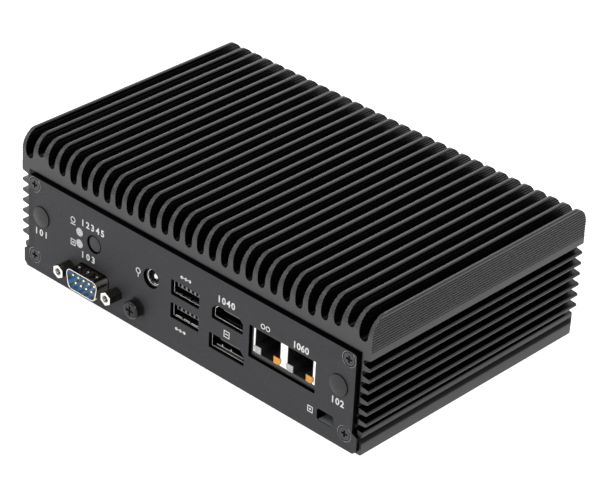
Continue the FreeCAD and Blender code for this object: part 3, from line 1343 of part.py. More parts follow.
def coin_cell_holder():
    """Open cup that keeps the clock's coin cell."""
    outer = CELL_RADIUS + CELL_HOLDER_WALL
    cup = rod(CELL_X, CELL_Y, BOARD_FOOT, DOWN, outer, CELL_HOLDER_FLOOR + CELL_HEIGHT - 0.8)
    bore = rod(CELL_X, CELL_Y, BOARD_FOOT - CELL_HOLDER_FLOOR, DOWN, CELL_RADIUS + LAMP_PLAY, CELL_HEIGHT)
    return cup.cut(bore)


def coin_cell():
    """The clock's coin cell."""
    return rod(CELL_X, CELL_Y, BOARD_FOOT - CELL_HOLDER_FLOOR, DOWN, CELL_RADIUS, CELL_HEIGHT)


def power_coils():
    """Row of square coils of the power supply, on the board."""
    half = COIL_SIZE / 2
    shapes = []
    for index in range(COIL_COUNT):
        y = PROCESSOR_Y + (index - (COIL_COUNT - 1) / 2) * COIL_PITCH
        shapes.append(upright_block(POWER_ROW_X - half, POWER_ROW_X + half, y - half, y + half,
                                    BOARD_TOP, BOARD_TOP + COIL_HEIGHT, 0.8))
    return group(shapes)


def power_capacitors():
    """Row of round capacitors beside the coils."""
    x = POWER_ROW_X - COIL_PITCH
    ys = [PROCESSOR_Y + (index - (CAPACITOR_COUNT - 1) / 2) * CAPACITOR_PITCH for index in range(CAPACITOR_COUNT)]
    return group([rod(x, y, BOARD_TOP, UP, CAPACITOR_RADIUS, CAPACITOR_HEIGHT) for y in ys])


def network_chips():
    """One controller chip behind each network port, on the board."""
    half = CHIP_SIZE / 2
    shapes = []
    for index in (-0.5, 0.5):
        x = NETWORK_X + index * CHIP_PITCH
        shapes.append(block(x - half, x + half, CHIP_Y - half, CHIP_Y + half, BOARD_TOP, BOARD_TOP + CHIP_HEIGHT))
    return group(shapes)


# --------------------------------------------------------------------- output
def build():
    """Every node's name with its shape."""
    return {
        "heatsink_body": heatsink_body(),
        "front_panel": front_panel(),
        "front_panel_screws": panel_screws(PANEL_FACE, FORWARD),
        "rear_panel": rear_panel(),
        "rear_panel_screws": panel_screws(REAR + PANEL_THICKNESS, REARWARD),
        "bottom_cover": bottom_cover(),
        "bottom_cover_screws": bottom_cover_screws(),
        "mounting_nuts": mounting_nuts(),
        "antenna_plug_left": antenna_plug(-PLUG_X),
        "antenna_plug_right": antenna_plug(PLUG_X),
        "power_button": power_button(),
        "power_switch": power_switch(),
        "indicator_light_pipes": indicator_light_pipes(),
        "indicator_holder": indicator_holder(),
        "ground_screw": ground_screw(),
        "ground_lock_washer": ground_lock_washer(),
        "ground_washer": washer(GROUND_WASHER_RADIUS, GROUND_WASHER, PANEL_FACE),
        "ground_nut": ground_nut(),
        "serial_shell": serial_shell(),
        "serial_insert": serial_insert(),
        "serial_pins": serial_pins(),
        "serial_jackscrews": serial_jackscrews(),
        "serial_ribbon": serial_ribbon(),
        "serial_plug": serial_plug(),
        "serial_header": serial_header(),
        "power_jack_body": power_jack_body(),
        "power_jack_sleeve": power_jack_sleeve(),
        "power_jack_pin": power_jack_pin(),
        "data_socket_shell": data_socket_shell(),
        "data_socket_insert": data_socket_insert(),
        "data_socket_contacts": data_socket_contacts(),
        "video_socket_upper_shell": video_shell(video_upper()),
        "video_socket_upper_tongue": video_tongue(video_upper()),
        "video_socket_lower_shell": video_shell(video_lower()),
        "video_socket_lower_tongue": video_tongue(video_lower()),
        "video_socket_carrier": video_socket_carrier(),
        "network_shield": network_shield(),
        "network_housing": network_housing(),
        "network_contacts": network_contacts(),
        "network_lamps_clear": network_lamps(-1),
        "network_lamps_amber": network_lamps(1),
        "mainboard": mainboard(),
        "board_standoffs": board_standoffs(),
        "board_screws": board_screws(),
        "processor": processor(),
        "thermal_pad": thermal_pad(),
        "heat_block": heat_block(),
        "heat_block_screws": heat_block_screws(),
        "memory_socket": memory_socket(),
        "memory_module": memory_module(),
        "storage_socket": storage_socket(),
        "storage_module": storage_module(),
        "storage_post": storage_post(),
        "coin_cell": coin_cell(),
        "coin_cell_holder": coin_cell_holder(),
        "power_coils": power_coils(),
        "power_capacitors": power_capacitors(),
        "network_chips": network_chips(),
    }


os.makedirs("parts", exist_ok=True)
for name, shape in build().items():
    shape.exportStep(os.path.join("parts", name + ".step"))
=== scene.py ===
"""Finishes, marks and fine fittings for a fanless industrial computer.

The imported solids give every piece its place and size. This script draws the
cooling extrusion from its own rule, eases the edges of the other visible
pieces, adds the small fittings that a plain solid leaves out, and gives every
piece its finish.
"""
import json
import logging
import math
from contextlib import contextmanager
from dataclasses import dataclass, field
from enum import Enum
from typing import Any, Iterable, Iterator, Sequence, Union

import bmesh
import bpy
from mathutils import Matrix, Vector

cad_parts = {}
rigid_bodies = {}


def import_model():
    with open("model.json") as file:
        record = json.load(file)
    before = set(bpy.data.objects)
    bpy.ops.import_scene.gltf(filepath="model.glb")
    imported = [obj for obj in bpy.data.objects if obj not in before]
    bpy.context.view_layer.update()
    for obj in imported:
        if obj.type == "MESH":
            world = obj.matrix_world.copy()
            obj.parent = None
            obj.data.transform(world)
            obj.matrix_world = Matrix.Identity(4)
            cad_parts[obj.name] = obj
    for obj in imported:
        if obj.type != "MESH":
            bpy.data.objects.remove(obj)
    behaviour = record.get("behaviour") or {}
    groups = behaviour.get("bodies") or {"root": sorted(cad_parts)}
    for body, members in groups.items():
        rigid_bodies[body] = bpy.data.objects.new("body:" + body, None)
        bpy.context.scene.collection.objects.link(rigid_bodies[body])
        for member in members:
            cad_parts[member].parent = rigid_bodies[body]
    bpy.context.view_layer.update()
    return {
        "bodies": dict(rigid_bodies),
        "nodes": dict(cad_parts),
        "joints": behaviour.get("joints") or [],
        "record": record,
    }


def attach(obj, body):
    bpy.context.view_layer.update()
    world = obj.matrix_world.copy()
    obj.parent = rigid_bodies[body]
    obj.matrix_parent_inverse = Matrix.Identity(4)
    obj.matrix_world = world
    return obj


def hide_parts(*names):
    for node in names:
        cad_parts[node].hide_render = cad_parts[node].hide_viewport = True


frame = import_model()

MM = 0.001

# Sizes and places that several classes share, in millimetres.
HOUSING_WIDTH = 171.8
HOUSING_LENGTH = 112.0
HOUSING_HEIGHT = 55.0
MILLED_CORNER = 7.5
RIDGE_PITCH = 1.04
RIDGE_TOP_GAP = 1.0
FOOT_HEIGHT = 9.3
PANEL_FACE = -57.5
SOCKET_FACE = -56.4
SERIAL_MIDDLE = (-46.0, 10.4)

log = logging.getLogger("dressing")

Point = tuple[float, float]
Place = tuple[float, float, float]
Colour = tuple[float, float, float]
Value = Union[float, int, Sequence[float], "Signal", bpy.types.NodeSocket]


# ------------------------------------------------------------- node plumbing
class Signal:
    """A number, colour or vector inside a node tree, joined by operators."""

    def __init__(self, graph: "Graph", socket: bpy.types.NodeSocket) -> None:
        """Wrap an output socket.

        Args:
            graph: the tree that the socket belongs to.
            socket: the output that carries the value.
        """
        self.graph = graph
        self.socket = socket

    def math(self, operation: str, *others: Value) -> "Signal":
        """Combine with other numbers through one Math node.

        Args:
            operation: the node's operation.
            others: the second number, where it takes one.

        Returns:
            The result.
        """
        values = dict(enumerate((self, *others)))
        return Signal(self.graph, self.graph.add("ShaderNodeMath", values, operation=operation).outputs[0])

    def behind(self, first: Value, operation: str) -> "Signal":
        """Combine with a number that comes first in a Math node.

        Args:
            first: the number in front of this one.
            operation: the node's operation.

        Returns:
            The result.
        """
        node = self.graph.add("ShaderNodeMath", {0: first, 1: self}, operation=operation)
        return Signal(self.graph, node.outputs[0])

    def __add__(self, other: Value) -> "Signal":
        """Sum of two numbers."""
        return self.math("ADD", other)

    def __sub__(self, other: Value) -> "Signal":
        """Difference of two numbers."""
        return self.math("SUBTRACT", other)

    def __mul__(self, other: Value) -> "Signal":
        """Product of two numbers."""
        return self.math("MULTIPLY", other)

    def __truediv__(self, other: Value) -> "Signal":
        """Quotient of two numbers."""
        return self.math("DIVIDE", other)

    def __radd__(self, other: Value) -> "Signal":
        """Sum of two numbers, this one second."""
        return self.math("ADD", other)

    def __rsub__(self, other: Value) -> "Signal":
        """Another number less this one."""
        return self.behind(other, "SUBTRACT")

    def __rmul__(self, other: Value) -> "Signal":
        """Product of two numbers, this one second."""
        return self.math("MULTIPLY", other)

    def __rtruediv__(self, other: Value) -> "Signal":
        """Another number over this one."""
        return self.behind(other, "DIVIDE")

    def __neg__(self) -> "Signal":
        """The number with its sign turned."""
        return self * -1.0

    def __abs__(self) -> "Signal":
        """Size without sign."""
        return self.math("ABSOLUTE")

    def __gt__(self, other: Value) -> "Signal":
        """1 where this is the greater, else 0."""
        return self.math("GREATER_THAN", other)

    def __lt__(self, other: Value) -> "Signal":
        """1 where this is the lesser, else 0."""
        return self.math("LESS_THAN", other)

    def above(self, low: float, high: float) -> "Signal":
        """Soft step from 0 at low to 1 at high.

        Args:
            low: where the step begins.
            high: where it ends.

        Returns:
            A number between 0 and 1.
        """
        node = self.graph.add("ShaderNodeMapRange", {0: self, 1: low, 2: high},
                              interpolation_type="SMOOTHSTEP")
        return Signal(self.graph, node.outputs[0])

    def span(self, low: float, high: float) -> "Signal":
        """Spread a number from 0..1 over low..high."""
        return self * (high - low) + low

    def parts(self) -> tuple["Signal", "Signal", "Signal"]:
        """The X, Y and Z of a vector."""
        node = self.graph.add("ShaderNodeSeparateXYZ", {0: self})
        return tuple(Signal(self.graph, output) for output in node.outputs)

    def stretched(self, x: float, y: float, z: float) -> "Signal":
        """A vector multiplied along each axis."""
        node = self.graph.add("ShaderNodeVectorMath", {0: self, 1: (x, y, z)}, operation="MULTIPLY")
        return Signal(self.graph, node.outputs[0])

    def noise(self, grain: float, detail: float = 2.0) -> "Signal":
        """Even noise from 0 to 1 over a place.

        Args:
            grain: size of its spots in metres.
            detail: how many finer layers it has.

        Returns:
            The noise.
        """
        node = self.graph.add("ShaderNodeTexNoise", {"Vector": self, "Scale": 1.0 / grain, "Detail": detail})
        return Signal(self.graph, node.outputs[0])


class Graph:
    """A material's or a geometry modifier's node tree, filled by short calls."""

    def __init__(self, tree: bpy.types.NodeTree) -> None:
        """Keep the tree that the calls fill."""
        self.tree = tree

    def add(self, kind: str, values: dict[Any, Value] | None = None, **settings: Any) -> bpy.types.Node:
        """Add a node.

        Args:
            kind: the node's type.
            values: what each input gets, by name or number.
            settings: the node's own properties.

        Returns:
            The node.
        """
        node = self.tree.nodes.new(kind)
        for name, value in settings.items():
            setattr(node, name, value)
        for key, value in (values or {}).items():
            self.feed(node.inputs[key], value)
        return node

    def feed(self, socket: bpy.types.NodeSocket, value: Value) -> None:
        """Link or set one input.

        Args:
            socket: the input.
            value: a signal, an output socket or a plain value.
        """
        if isinstance(value, Signal):
            self.tree.links.new(value.socket, socket)
        elif isinstance(value, bpy.types.NodeSocket):
            self.tree.links.new(value, socket)
        else:
            socket.default_value = value

    def mix(self, share: Value, low: Value, high: Value) -> Signal:
        """Blend two colours.

        Args:
            share: 0 gives low and 1 gives high.
            low: the first colour.
            high: the second colour.

        Returns:
            The colour between them.
        """
        pair = [(*item, 1.0) if isinstance(item, tuple) else item for item in (low, high)]
        node = self.add("ShaderNodeMix", {0: share, 6: pair[0], 7: pair[1]}, data_type="RGBA")
        return Signal(self, node.outputs[2])


class Paint(Graph):
    """A material's tree with one surface shader and object coordinates."""

    def __init__(self, name: str) -> None:
        """Start a material.

        Args:
            name: the finish's plain name.
        """
        self.material = bpy.data.materials.new(name)
        self.material.use_nodes = True
        super().__init__(self.material.node_tree)
        self.shader = self.tree.nodes["Principled BSDF"]

    def place(self) -> Signal:
        """Where a surface point lies, in metres, in the frame's axes."""
        return Signal(self, self.add("ShaderNodeTexCoord").outputs["Object"])

    def facing(self) -> Signal:
        """Which way a surface point faces, in the frame's axes."""
        return Signal(self, self.add("ShaderNodeNewGeometry").outputs["True Normal"])

    def set(self, **values: Value) -> "Paint":
        """Set the shader's inputs; a name's underscores stand for spaces.

        Args:
            values: input names with what they get.

        Returns:
            This paint.
        """
        for name, value in values.items():
            label = name.replace("_", " ").title().replace("Ior", "IOR")
            whole = (*value, 1.0) if isinstance(value, tuple) and len(value) == 3 else value
            self.feed(self.shader.inputs[label], whole)
        return self

    def relief(self, height: Signal, depth: float) -> None:
        """Make a surface uneven.

        Args:
            height: 0 for its lowest and 1 for its highest places.
            depth: metres between the two.
        """
        bump = self.add("ShaderNodeBump", {"Height": height, "Distance": depth, "Strength": 1.0})
        self.feed(self.shader.inputs["Normal"], bump.outputs[0])


# ------------------------------------------------------------------ finishes
def toned(colour: Colour, factor: float) -> Colour:
    """A colour made lighter or darker by a factor, at most full."""
    return tuple(min(1.0, factor * part) for part in colour)


@dataclass(frozen=True)
class Finish:
    """A finish: what every kind of surface here is described by."""

    name: str
    colour: Colour
    roughness: float = 0.5
    metallic: float = 0.0
    sheen: float = 0.5

    def material(self) -> bpy.types.Material:
        """The finish's material, made the first time that it is asked for.

        Returns:
            The material.
        """
        known = bpy.data.materials.get("dressed_" + self.name)
        if known:
            return known
        paint = Paint("dressed_" + self.name)
        paint.set(base_color=self.colour, roughness=self.roughness, metallic=self.metallic,
                  specular_ior_level=self.sheen)
        self.brush(paint)
        return paint.material

    def brush(self, paint: Paint) -> None:
        """Add what varies over the surface.

        Args:
            paint: the material's tree.
        """


@dataclass(frozen=True)
class AnodisedExtrusion(Finish):
    """Black anodised aluminium with die lines along it and milled corners, and painted shade in the ridge
    valleys, along the plate's edge and on the slot flanks.
    """

    tip_colour: Colour = (0.013, 0.013, 0.0135)
    milled_colour: Colour = (0.05, 0.0495, 0.0495)
    sawn_colour: Colour = (0.041, 0.041, 0.044)
    # painted shade: near black for the ridge valleys and the plate's shadow line
    painted_shade_colour: Colour = (0.003, 0.003, 0.003)
    length: float = HOUSING_LENGTH * MM
    width: float = HOUSING_WIDTH * MM
    height: float = HOUSING_HEIGHT * MM
    corner: float = MILLED_CORNER * MM
    corner_reach: Point = (0.982, 0.992)
    band_foot: float = 41.4 * MM
    ridge_top: float = (HOUSING_HEIGHT - RIDGE_TOP_GAP) * MM
    ridge_pitch: float = RIDGE_PITCH * MM
    plate: Point = (80.9 * MM, 39.6 * MM)
    shadow: float = 1.5 * MM
    foot: float = FOOT_HEIGHT * MM
    foot_depth: float = 1.9 * MM
    skin: Point = (0.45 * MM, 0.4 * MM)
    saw_depth: Point = (0.08 * MM, 0.02 * MM)
    tip_height: float = 1.4 * MM
    line_grain: float = 0.35 * MM
    line_stretch: float = 0.012
    cloud_grain: float = 2.2 * MM
    speck_grain: float = 0.8 * MM
    fine_grain: float = 0.16 * MM
    relief_depth: float = 0.006 * MM

    def milled_arc(self, y: Signal, z: Signal) -> Signal:
        """1 on the arc that the fins' ends are milled to.

        Args:
            y: the surface point's Y.
            z: its Z.

        Returns:
            The mask.
        """
        back = abs(y) - (self.length / 2 - self.corner)
        rise = z - (self.height - self.corner)
        reach = (back * back + rise * rise).math("SQRT") / self.corner
        return reach.above(*self.corner_reach) * (back > 0.0) * (rise > 0.0)

    def outside(self, x: Signal, z: Signal) -> Signal:
        """1 on the outer faces of both sides and of the foot.

        Args:
            x: the surface point's X.
            z: its Z.

        Returns:
            The mask.
        """
        side = abs(x).above(self.width / 2 - self.skin[0], self.width / 2 - self.skin[1])
        foot = (abs(x) > self.width / 2 - self.foot_depth) * (z < self.foot)
        return side.math("MAXIMUM", foot)

    def valleys(self, z: Signal) -> Signal:
        """1 in the valleys of the ridged band, where shade is painted."""
        wave = abs(((self.ridge_top - z) / self.ridge_pitch).math("FRACT") - 0.5)
        return (0.5 - wave).above(0.2, 0.42) * (z > self.band_foot) * (z < self.ridge_top)

    def shadow_line(self, x: Signal, z: Signal) -> Signal:
        """1 where the sawn end lies in the shadow of the plate's edge."""
        beside = (abs(x) - self.plate[0]).math("MAXIMUM", z - self.plate[1])
        return (-beside).above(-self.shadow, -0.55 * self.shadow)

    def brush(self, paint: Paint) -> None:
        """Draw the die lines, the milled corners and the sawn ends, and paint shade into the ridge valleys,
        the plate's shadow line and the slot flanks.

        Args:
            paint: the material's tree.
        """
        place = paint.place()
        x, y, z = place.parts()
        lines = place.stretched(1.0, self.line_stretch, 1.0).noise(self.line_grain, 3.0)
        grain = place.noise(self.fine_grain, 2.0)
        sawn = abs(y).above(self.length / 2 - self.saw_depth[0], self.length / 2 - self.saw_depth[1])
        worked = self.milled_arc(y, z).math("MAXIMUM", sawn)
        outer = self.outside(x, z) * (1.0 - worked)
        tip = (z > self.height - self.tip_height) * paint.facing().parts()[2].above(0.05, 0.6)
        plain = paint.mix(lines, self.colour, toned(self.colour, 1.35))
        plain = paint.mix(outer.math("MAXIMUM", tip), plain, self.tip_colour)
        speck = place.noise(self.speck_grain, 4.0).above(0.36, 0.66)
        arc = paint.mix(speck, toned(self.milled_colour, 0.42), self.milled_colour)
        mottle = place.noise(self.cloud_grain, 3.0).above(0.35, 0.68)
        end = paint.mix(mottle, toned(self.sawn_colour, 0.93), self.sawn_colour)
        bare_or_shaded_side = paint.mix(sawn, arc, end)
        # painted shade: the outer band's valleys and the plate's shadow line go near black and metallic
        dark = (self.valleys(z) * outer).math("MAXIMUM", self.shadow_line(x, z) * sawn)
        tone = paint.mix(dark, paint.mix(worked, plain, bare_or_shaded_side), self.painted_shade_colour)
        # painted shade: slot flanks, neither worked, outer nor tip, turn dark metal
        inside = (1.0 - (worked + outer + tip)).math("MAXIMUM", 0.0)
        rough = (lines * 0.14 + (self.roughness - 0.07)) * (1.0 - worked)
        rough = rough + (grain * 0.2 + 0.3) * worked
        paint.set(base_color=tone, roughness=rough, metallic=dark.math("MAXIMUM", inside))
        paint.relief(lines * (1.0 - worked) + grain * worked, self.relief_depth)


@dataclass(frozen=True)
class PowderCoat(Finish):
    """Fine speckled coat on the plates, with painted shade on their edges and cut-out walls."""

    # painted shade: near black for faces turned away from the plate's flat side
    edge_shade_colour: Colour = (0.004, 0.004, 0.0045)
    star_colour: Colour = (0.24, 0.24, 0.25)
    speck_grain: float = 0.28 * MM
    cloud_grain: float = 14 * MM
    star_grain: float = 0.5 * MM
    relief_depth: float = 0.012 * MM
    flat_axis: int = 1

    def brush(self, paint: Paint) -> None:
        """Speckle the flat faces and paint shade on the edges and cut-out walls.

        Args:
            paint: the material's tree.
        """
        place = paint.place()
        speck = place.noise(self.speck_grain, 2.0)
        cloud = place.noise(self.cloud_grain, 2.0)
        stars = place.noise(self.star_grain, 0.0).above(0.76, 0.8)
        # painted shade: edges and cut-out walls go near black and metallic
        facing = abs(paint.facing().parts()[self.flat_axis]).above(0.45, 0.75)
        tone = paint.mix(speck.above(0.3, 0.7), toned(self.colour, 0.86), toned(self.colour, 1.12))
        tone = paint.mix(cloud.span(0.0, 0.12), tone, self.edge_shade_colour)
        tone = paint.mix(stars * 0.35, tone, self.star_colour)
        paint.set(base_color=paint.mix(facing, self.edge_shade_colour, tone),
                  roughness=speck.span(0.0, 0.16) + self.roughness, metallic=facing.span(1.0, 0.0))
        paint.relief(speck, self.relief_depth)


@dataclass(frozen=True)
class MouldedPlastic(Finish):
    """Moulded plastic with a fine eroded grain and faint flow marks."""

    grain: float = 0.22 * MM
    flow_grain: float = 2.4 * MM
    relief_depth: float = 0.006 * MM
    streak: float = 0.0

    def brush(self, paint: Paint) -> None:
        """Grain the surface and vary its tone a little.

        Args:
            paint: the material's tree.
        """
        place = paint.place()
        grain = place.noise(self.grain, 2.0)
        flow = place.stretched(1.0, 0.5, 0.35).noise(self.flow_grain, 2.0).above(0.3, 0.75)
        paint.set(base_color=paint.mix(flow, self.colour, toned(self.colour, 1.25 + self.streak)),
                  roughness=grain.span(-0.07, 0.07) + self.roughness)
        paint.relief(grain, self.relief_depth)


@dataclass(frozen=True)
class PlatedMetal(Finish):
    """Plated metal: bright, with tarnish clouds, rolling lines, and painted shade and dark reflection on its
    sides.
    """

    tarnish: Colour = (0.25, 0.2, 0.15)
    cloud_grain: float = 3.5 * MM
    line_grain: float = 0.25 * MM
    line_stretch: float = 0.06
    relief_depth: float = 0.003 * MM
    # painted shade and dark reflection: colour of the faces turned away from the front, and of the area round
    # the given middle
    side: Colour | None = None
    shade_middle: Point | None = None
    shade_reach: Point = (8.3 * MM, 3.95 * MM)

    def brush(self, paint: Paint) -> None:
        """Cloud the plating, give it fine lines and paint shade and dark reflection on its sides.

        Args:
            paint: the material's tree.
        """
        place = paint.place()
        cloud = place.noise(self.cloud_grain, 3.0).above(0.45, 0.85)
        lines = place.stretched(1.0, self.line_stretch, 1.0).noise(self.line_grain, 2.0)
        tone = paint.mix(cloud * 0.45, self.colour, self.tarnish)
        # painted shade and dark reflection on the sides and round the given middle
        if self.side:
            bare_or_shaded_side = (-paint.facing().parts()[1]).above(0.3, 0.75)
            if self.shade_middle:
                x, _, z = place.parts()
                away = (abs(x - self.shade_middle[0]) / self.shade_reach[0]).math(
                    "MAXIMUM", abs(z - self.shade_middle[1]) / self.shade_reach[1])
                bare_or_shaded_side = bare_or_shaded_side.math("MAXIMUM", (-away).above(-1.0, -0.985))
            tone = paint.mix(bare_or_shaded_side, self.side, tone)
        paint.set(base_color=tone, roughness=lines * 0.12 + cloud * 0.08 + (self.roughness - 0.06))
        paint.relief(lines, self.relief_depth)


@dataclass(frozen=True)
class BlackOxide(Finish):
    """Oiled black oxide on steel, worn towards the metal in small spots."""

    worn: Colour = (0.2, 0.2, 0.21)
    wear_grain: float = 0.7 * MM
    fine_grain: float = 0.15 * MM
    relief_depth: float = 0.004 * MM

    def brush(self, paint: Paint) -> None:
        """Wear the oxide in small spots.

        Args:
            paint: the material's tree.
        """
        place = paint.place()
        wear = place.noise(self.wear_grain, 3.0).above(0.62, 0.78)
        grain = place.noise(self.fine_grain, 2.0)
        paint.set(base_color=paint.mix(wear * 0.35, self.colour, self.worn),
                  roughness=grain.span(-0.06, 0.08) + self.roughness)
        paint.relief(grain, self.relief_depth)


@dataclass(frozen=True)
class LampLens(Finish):
    """Clear or tinted light pipe, unevenly frosted."""

    frost: Colour = (0.7, 0.71, 0.72)
    frost_grain: float = 0.5 * MM
    fine_grain: float = 0.3 * MM
    relief_depth: float = 0.008 * MM

    def brush(self, paint: Paint) -> None:
        """Frost the lens unevenly.

        Args:
            paint: the material's tree.
        """
        place = paint.place()
        frost = place.noise(self.frost_grain, 2.0).above(0.35, 0.7)
        paint.set(base_color=paint.mix(frost, self.colour, self.frost), roughness=frost.span(0.25, 0.5))
        paint.relief(place.noise(self.fine_grain, 1.0), self.relief_depth)


@dataclass(frozen=True)
class SolderMask(Finish):
    """Circuit board: solder mask over faint tracks."""

    track: Colour = (0.05, 0.3, 0.12)
    pitch: float = 1.27 * MM
    zone_grain: float = 9 * MM
    relief_depth: float = 0.03 * MM

    def brush(self, paint: Paint) -> None:
        """Run tracks under the mask in two directions.

        Args:
            paint: the material's tree.
        """
        place = paint.place()
        zone = place.noise(self.zone_grain, 0.0).above(0.49, 0.51)
        along, across = (abs((axis / self.pitch).math("FRACT") - 0.5).above(0.3, 0.34)
                         for axis in place.parts()[:2])
        tracks = along * zone + across * (1.0 - zone)
        paint.set(base_color=paint.mix(tracks * 0.7, self.colour, self.track),
                  roughness=tracks.span(0.0, -0.1) + self.roughness)
        paint.relief(tracks, self.relief_depth)


@dataclass(frozen=True)
class RibbonCable(Finish):
    """Flat ribbon of side-by-side wires, one edge wire tinted."""

    pitch: float = 1.27 * MM
    middle: float = SERIAL_MIDDLE[0] * MM
    stripe: Colour = (0.45, 0.03, 0.03)
    edge_wire: Point = (3.98, 4.02)
    relief_depth: float = 0.35 * MM

    def brush(self, paint: Paint) -> None:
        """Round each wire and tint the first one.

        Args:
            paint: the material's tree.
        """
        wires = (paint.place().parts()[0] - self.middle) / self.pitch
        valley = abs(wires.math("FRACT") - 0.5).above(0.0, 0.5)
        first = (-wires).above(*self.edge_wire)
        paint.set(base_color=paint.mix(first, self.colour, self.stripe),
                  roughness=valley.span(0.1, 0.0) + self.roughness)
        paint.relief(1.0 - valley, self.relief_depth)


class Finishes(Enum):
    """Every finish on the computer."""

    EXTRUSION = AnodisedExtrusion("black_anodised", (0.0125, 0.0125, 0.013), 0.36, 0.0, 0.4)
    PANEL = PowderCoat("panel_coat", (0.037, 0.0375, 0.041), 0.5, 0.0, 0.25)
    COVER = PowderCoat("cover_coat", (0.037, 0.0375, 0.041), 0.5, 0.0, 0.25, flat_axis=2)
    PLUG = MouldedPlastic("plug_plastic", (0.016, 0.016, 0.017), 0.2, 0.0, 0.3)
    KEY = MouldedPlastic("button_plastic", (0.022, 0.022, 0.024), 0.3, 0.0, 0.3)
    OXIDE = BlackOxide("black_oxide", (0.055, 0.055, 0.056), 0.18, 0.9)
    GLOSSY = BlackOxide("glossy_black", (0.02, 0.02, 0.021), 0.1, 0.7)
    RIM = PlatedMetal("rim_metal", (0.3, 0.3, 0.305), 0.12, 1.0, tarnish=(0.15, 0.15, 0.15))
    # painted light: lighter grey for the lit floor of the lock slot
    SILL = MouldedPlastic("dull_sill", (0.16, 0.165, 0.18), 0.3)
    # painted shade: near black for rings and blocks laid in gaps and hollows
    HOLLOW = Finish("dark_hollow", (0.003, 0.003, 0.003), 0.6, 1.0)
    WASHER = BlackOxide("dark_washer", (0.016, 0.016, 0.017), 0.36, 0.6)
    ZINC = PlatedMetal("zinc_plate", (0.62, 0.62, 0.62), 0.32, 1.0, tarnish=(0.4, 0.4, 0.4))
    NICKEL = PlatedMetal("nickel_plate", (0.78, 0.77, 0.75), 0.2, 1.0)
    # the side colours below are painted shade and dark reflection
    SLEEVE = PlatedMetal("sleeve_plate", (0.72, 0.68, 0.62), 0.12, 1.0, side=(0.05, 0.043, 0.036),
                         shade_middle=tuple(part * MM for part in SERIAL_MIDDLE))
    HEX = PlatedMetal("hex_plate", (0.9, 0.87, 0.82), 0.24, 1.0, side=(0.12, 0.11, 0.1))
    SOCKET = PlatedMetal("socket_plate", (0.75, 0.75, 0.74), 0.28, 1.0, tarnish=(0.3, 0.3, 0.3),
                         side=(0.02, 0.02, 0.02))
    SHIELD = PlatedMetal("shield_tin", (0.86, 0.86, 0.85), 0.3, 1.0, tarnish=(0.7, 0.69, 0.68),
                         side=(0.1, 0.1, 0.1))
    # painted shade: nickel darkened for springs and fingers that lie in shade
    DARK_NICKEL = PlatedMetal("dark_nickel", (0.12, 0.115, 0.11), 0.22, 1.0, tarnish=(0.06, 0.05, 0.045))
    COPPER = PlatedMetal("copper_contact", (0.9, 0.45, 0.25), 0.25, 1.0, tarnish=(0.6, 0.25, 0.12))
    GOLD = PlatedMetal("gold_flash", (0.95, 0.74, 0.4), 0.24, 1.0, tarnish=(0.7, 0.42, 0.18))
    INSERT = MouldedPlastic("blue_insert", (0.035, 0.2, 0.62), 0.3, streak=0.5)
    BLACK = MouldedPlastic("black_moulding", (0.014, 0.014, 0.015), 0.38)
    TONGUE = MouldedPlastic("grey_tongue", (0.19, 0.19, 0.195), 0.4)
    CLEAR = LampLens("clear_lens", (0.45, 0.46, 0.47), 0.3)
    WINDOW = LampLens("window_lens", (0.42, 0.42, 0.43), 0.3, frost=(0.62, 0.62, 0.63))
    AMBER = LampLens("amber_lens", (0.75, 0.29, 0.02), 0.3, frost=(0.85, 0.4, 0.04))
    BOARD = SolderMask("solder_mask", (0.012, 0.11, 0.045), 0.35)
    CHIP = MouldedPlastic("chip_moulding", (0.022, 0.022, 0.023), 0.45)
    PAD = MouldedPlastic("soft_pad", (0.35, 0.37, 0.42), 0.8, grain=0.6 * MM, relief_depth=0.03 * MM)
    MILLED = PlatedMetal("milled_aluminium", (0.7, 0.7, 0.71), 0.35, 1.0, tarnish=(0.55, 0.55, 0.56))
    RIBBON = RibbonCable("ribbon_cable", (0.36, 0.36, 0.37), 0.5)
    INK = MouldedPlastic("screen_ink", (0.72, 0.72, 0.7), 0.55, grain=0.15 * MM, relief_depth=0.004 * MM)

    def material(self) -> bpy.types.Material:
        """The finish's material."""
        return self.value.material()


# ------------------------------------------------------------ mesh workshop
@dataclass(frozen=True)
class Easing:
    """How a piece's edges are eased: width, steps and where shading breaks."""

    width: float = 0.12 * MM
    steps: int = 2
    sharp: float = 32.0


def placed(name: str, data: bpy.types.ID) -> bpy.types.Object:
    """Link a mesh, a text, a light or a camera into the scene as an object.

    Args:
        name: the object's name.
        data: what it shows.

    Returns:
        The object.
    """
    item = bpy.data.objects.new(name, data)
    bpy.context.scene.collection.objects.link(item)
    return item


def plain_mesh(item: bpy.types.Object) -> bpy.types.Mesh:
    """An object's shape, as its modifiers leave it, as a mesh of its own."""
    return bpy.data.meshes.new_from_object(item.evaluated_get(bpy.context.evaluated_depsgraph_get()))


@contextmanager
def reworked(mesh: bpy.types.Mesh) -> Iterator[bmesh.types.BMesh]:
    """Open a mesh for work on its corners and faces, and write the result back.

    Args:
        mesh: the mesh.

    Returns:
        The mesh as it is worked on, for a with statement.
    """
    work = bmesh.new()
    work.from_mesh(mesh)
    yield work
    work.to_mesh(mesh)
    work.free()


def shade(mesh: bpy.types.Mesh, angle: float = 32.0) -> None:
    """Shade a mesh smooth except over its sharp edges.

    Args:
        mesh: the mesh.
        angle: the least turn of a sharp edge, in degrees.
    """
    mesh.polygons.foreach_set("use_smooth", [True] * len(mesh.polygons))
    mesh.set_sharp_from_angle(angle=math.radians(angle))


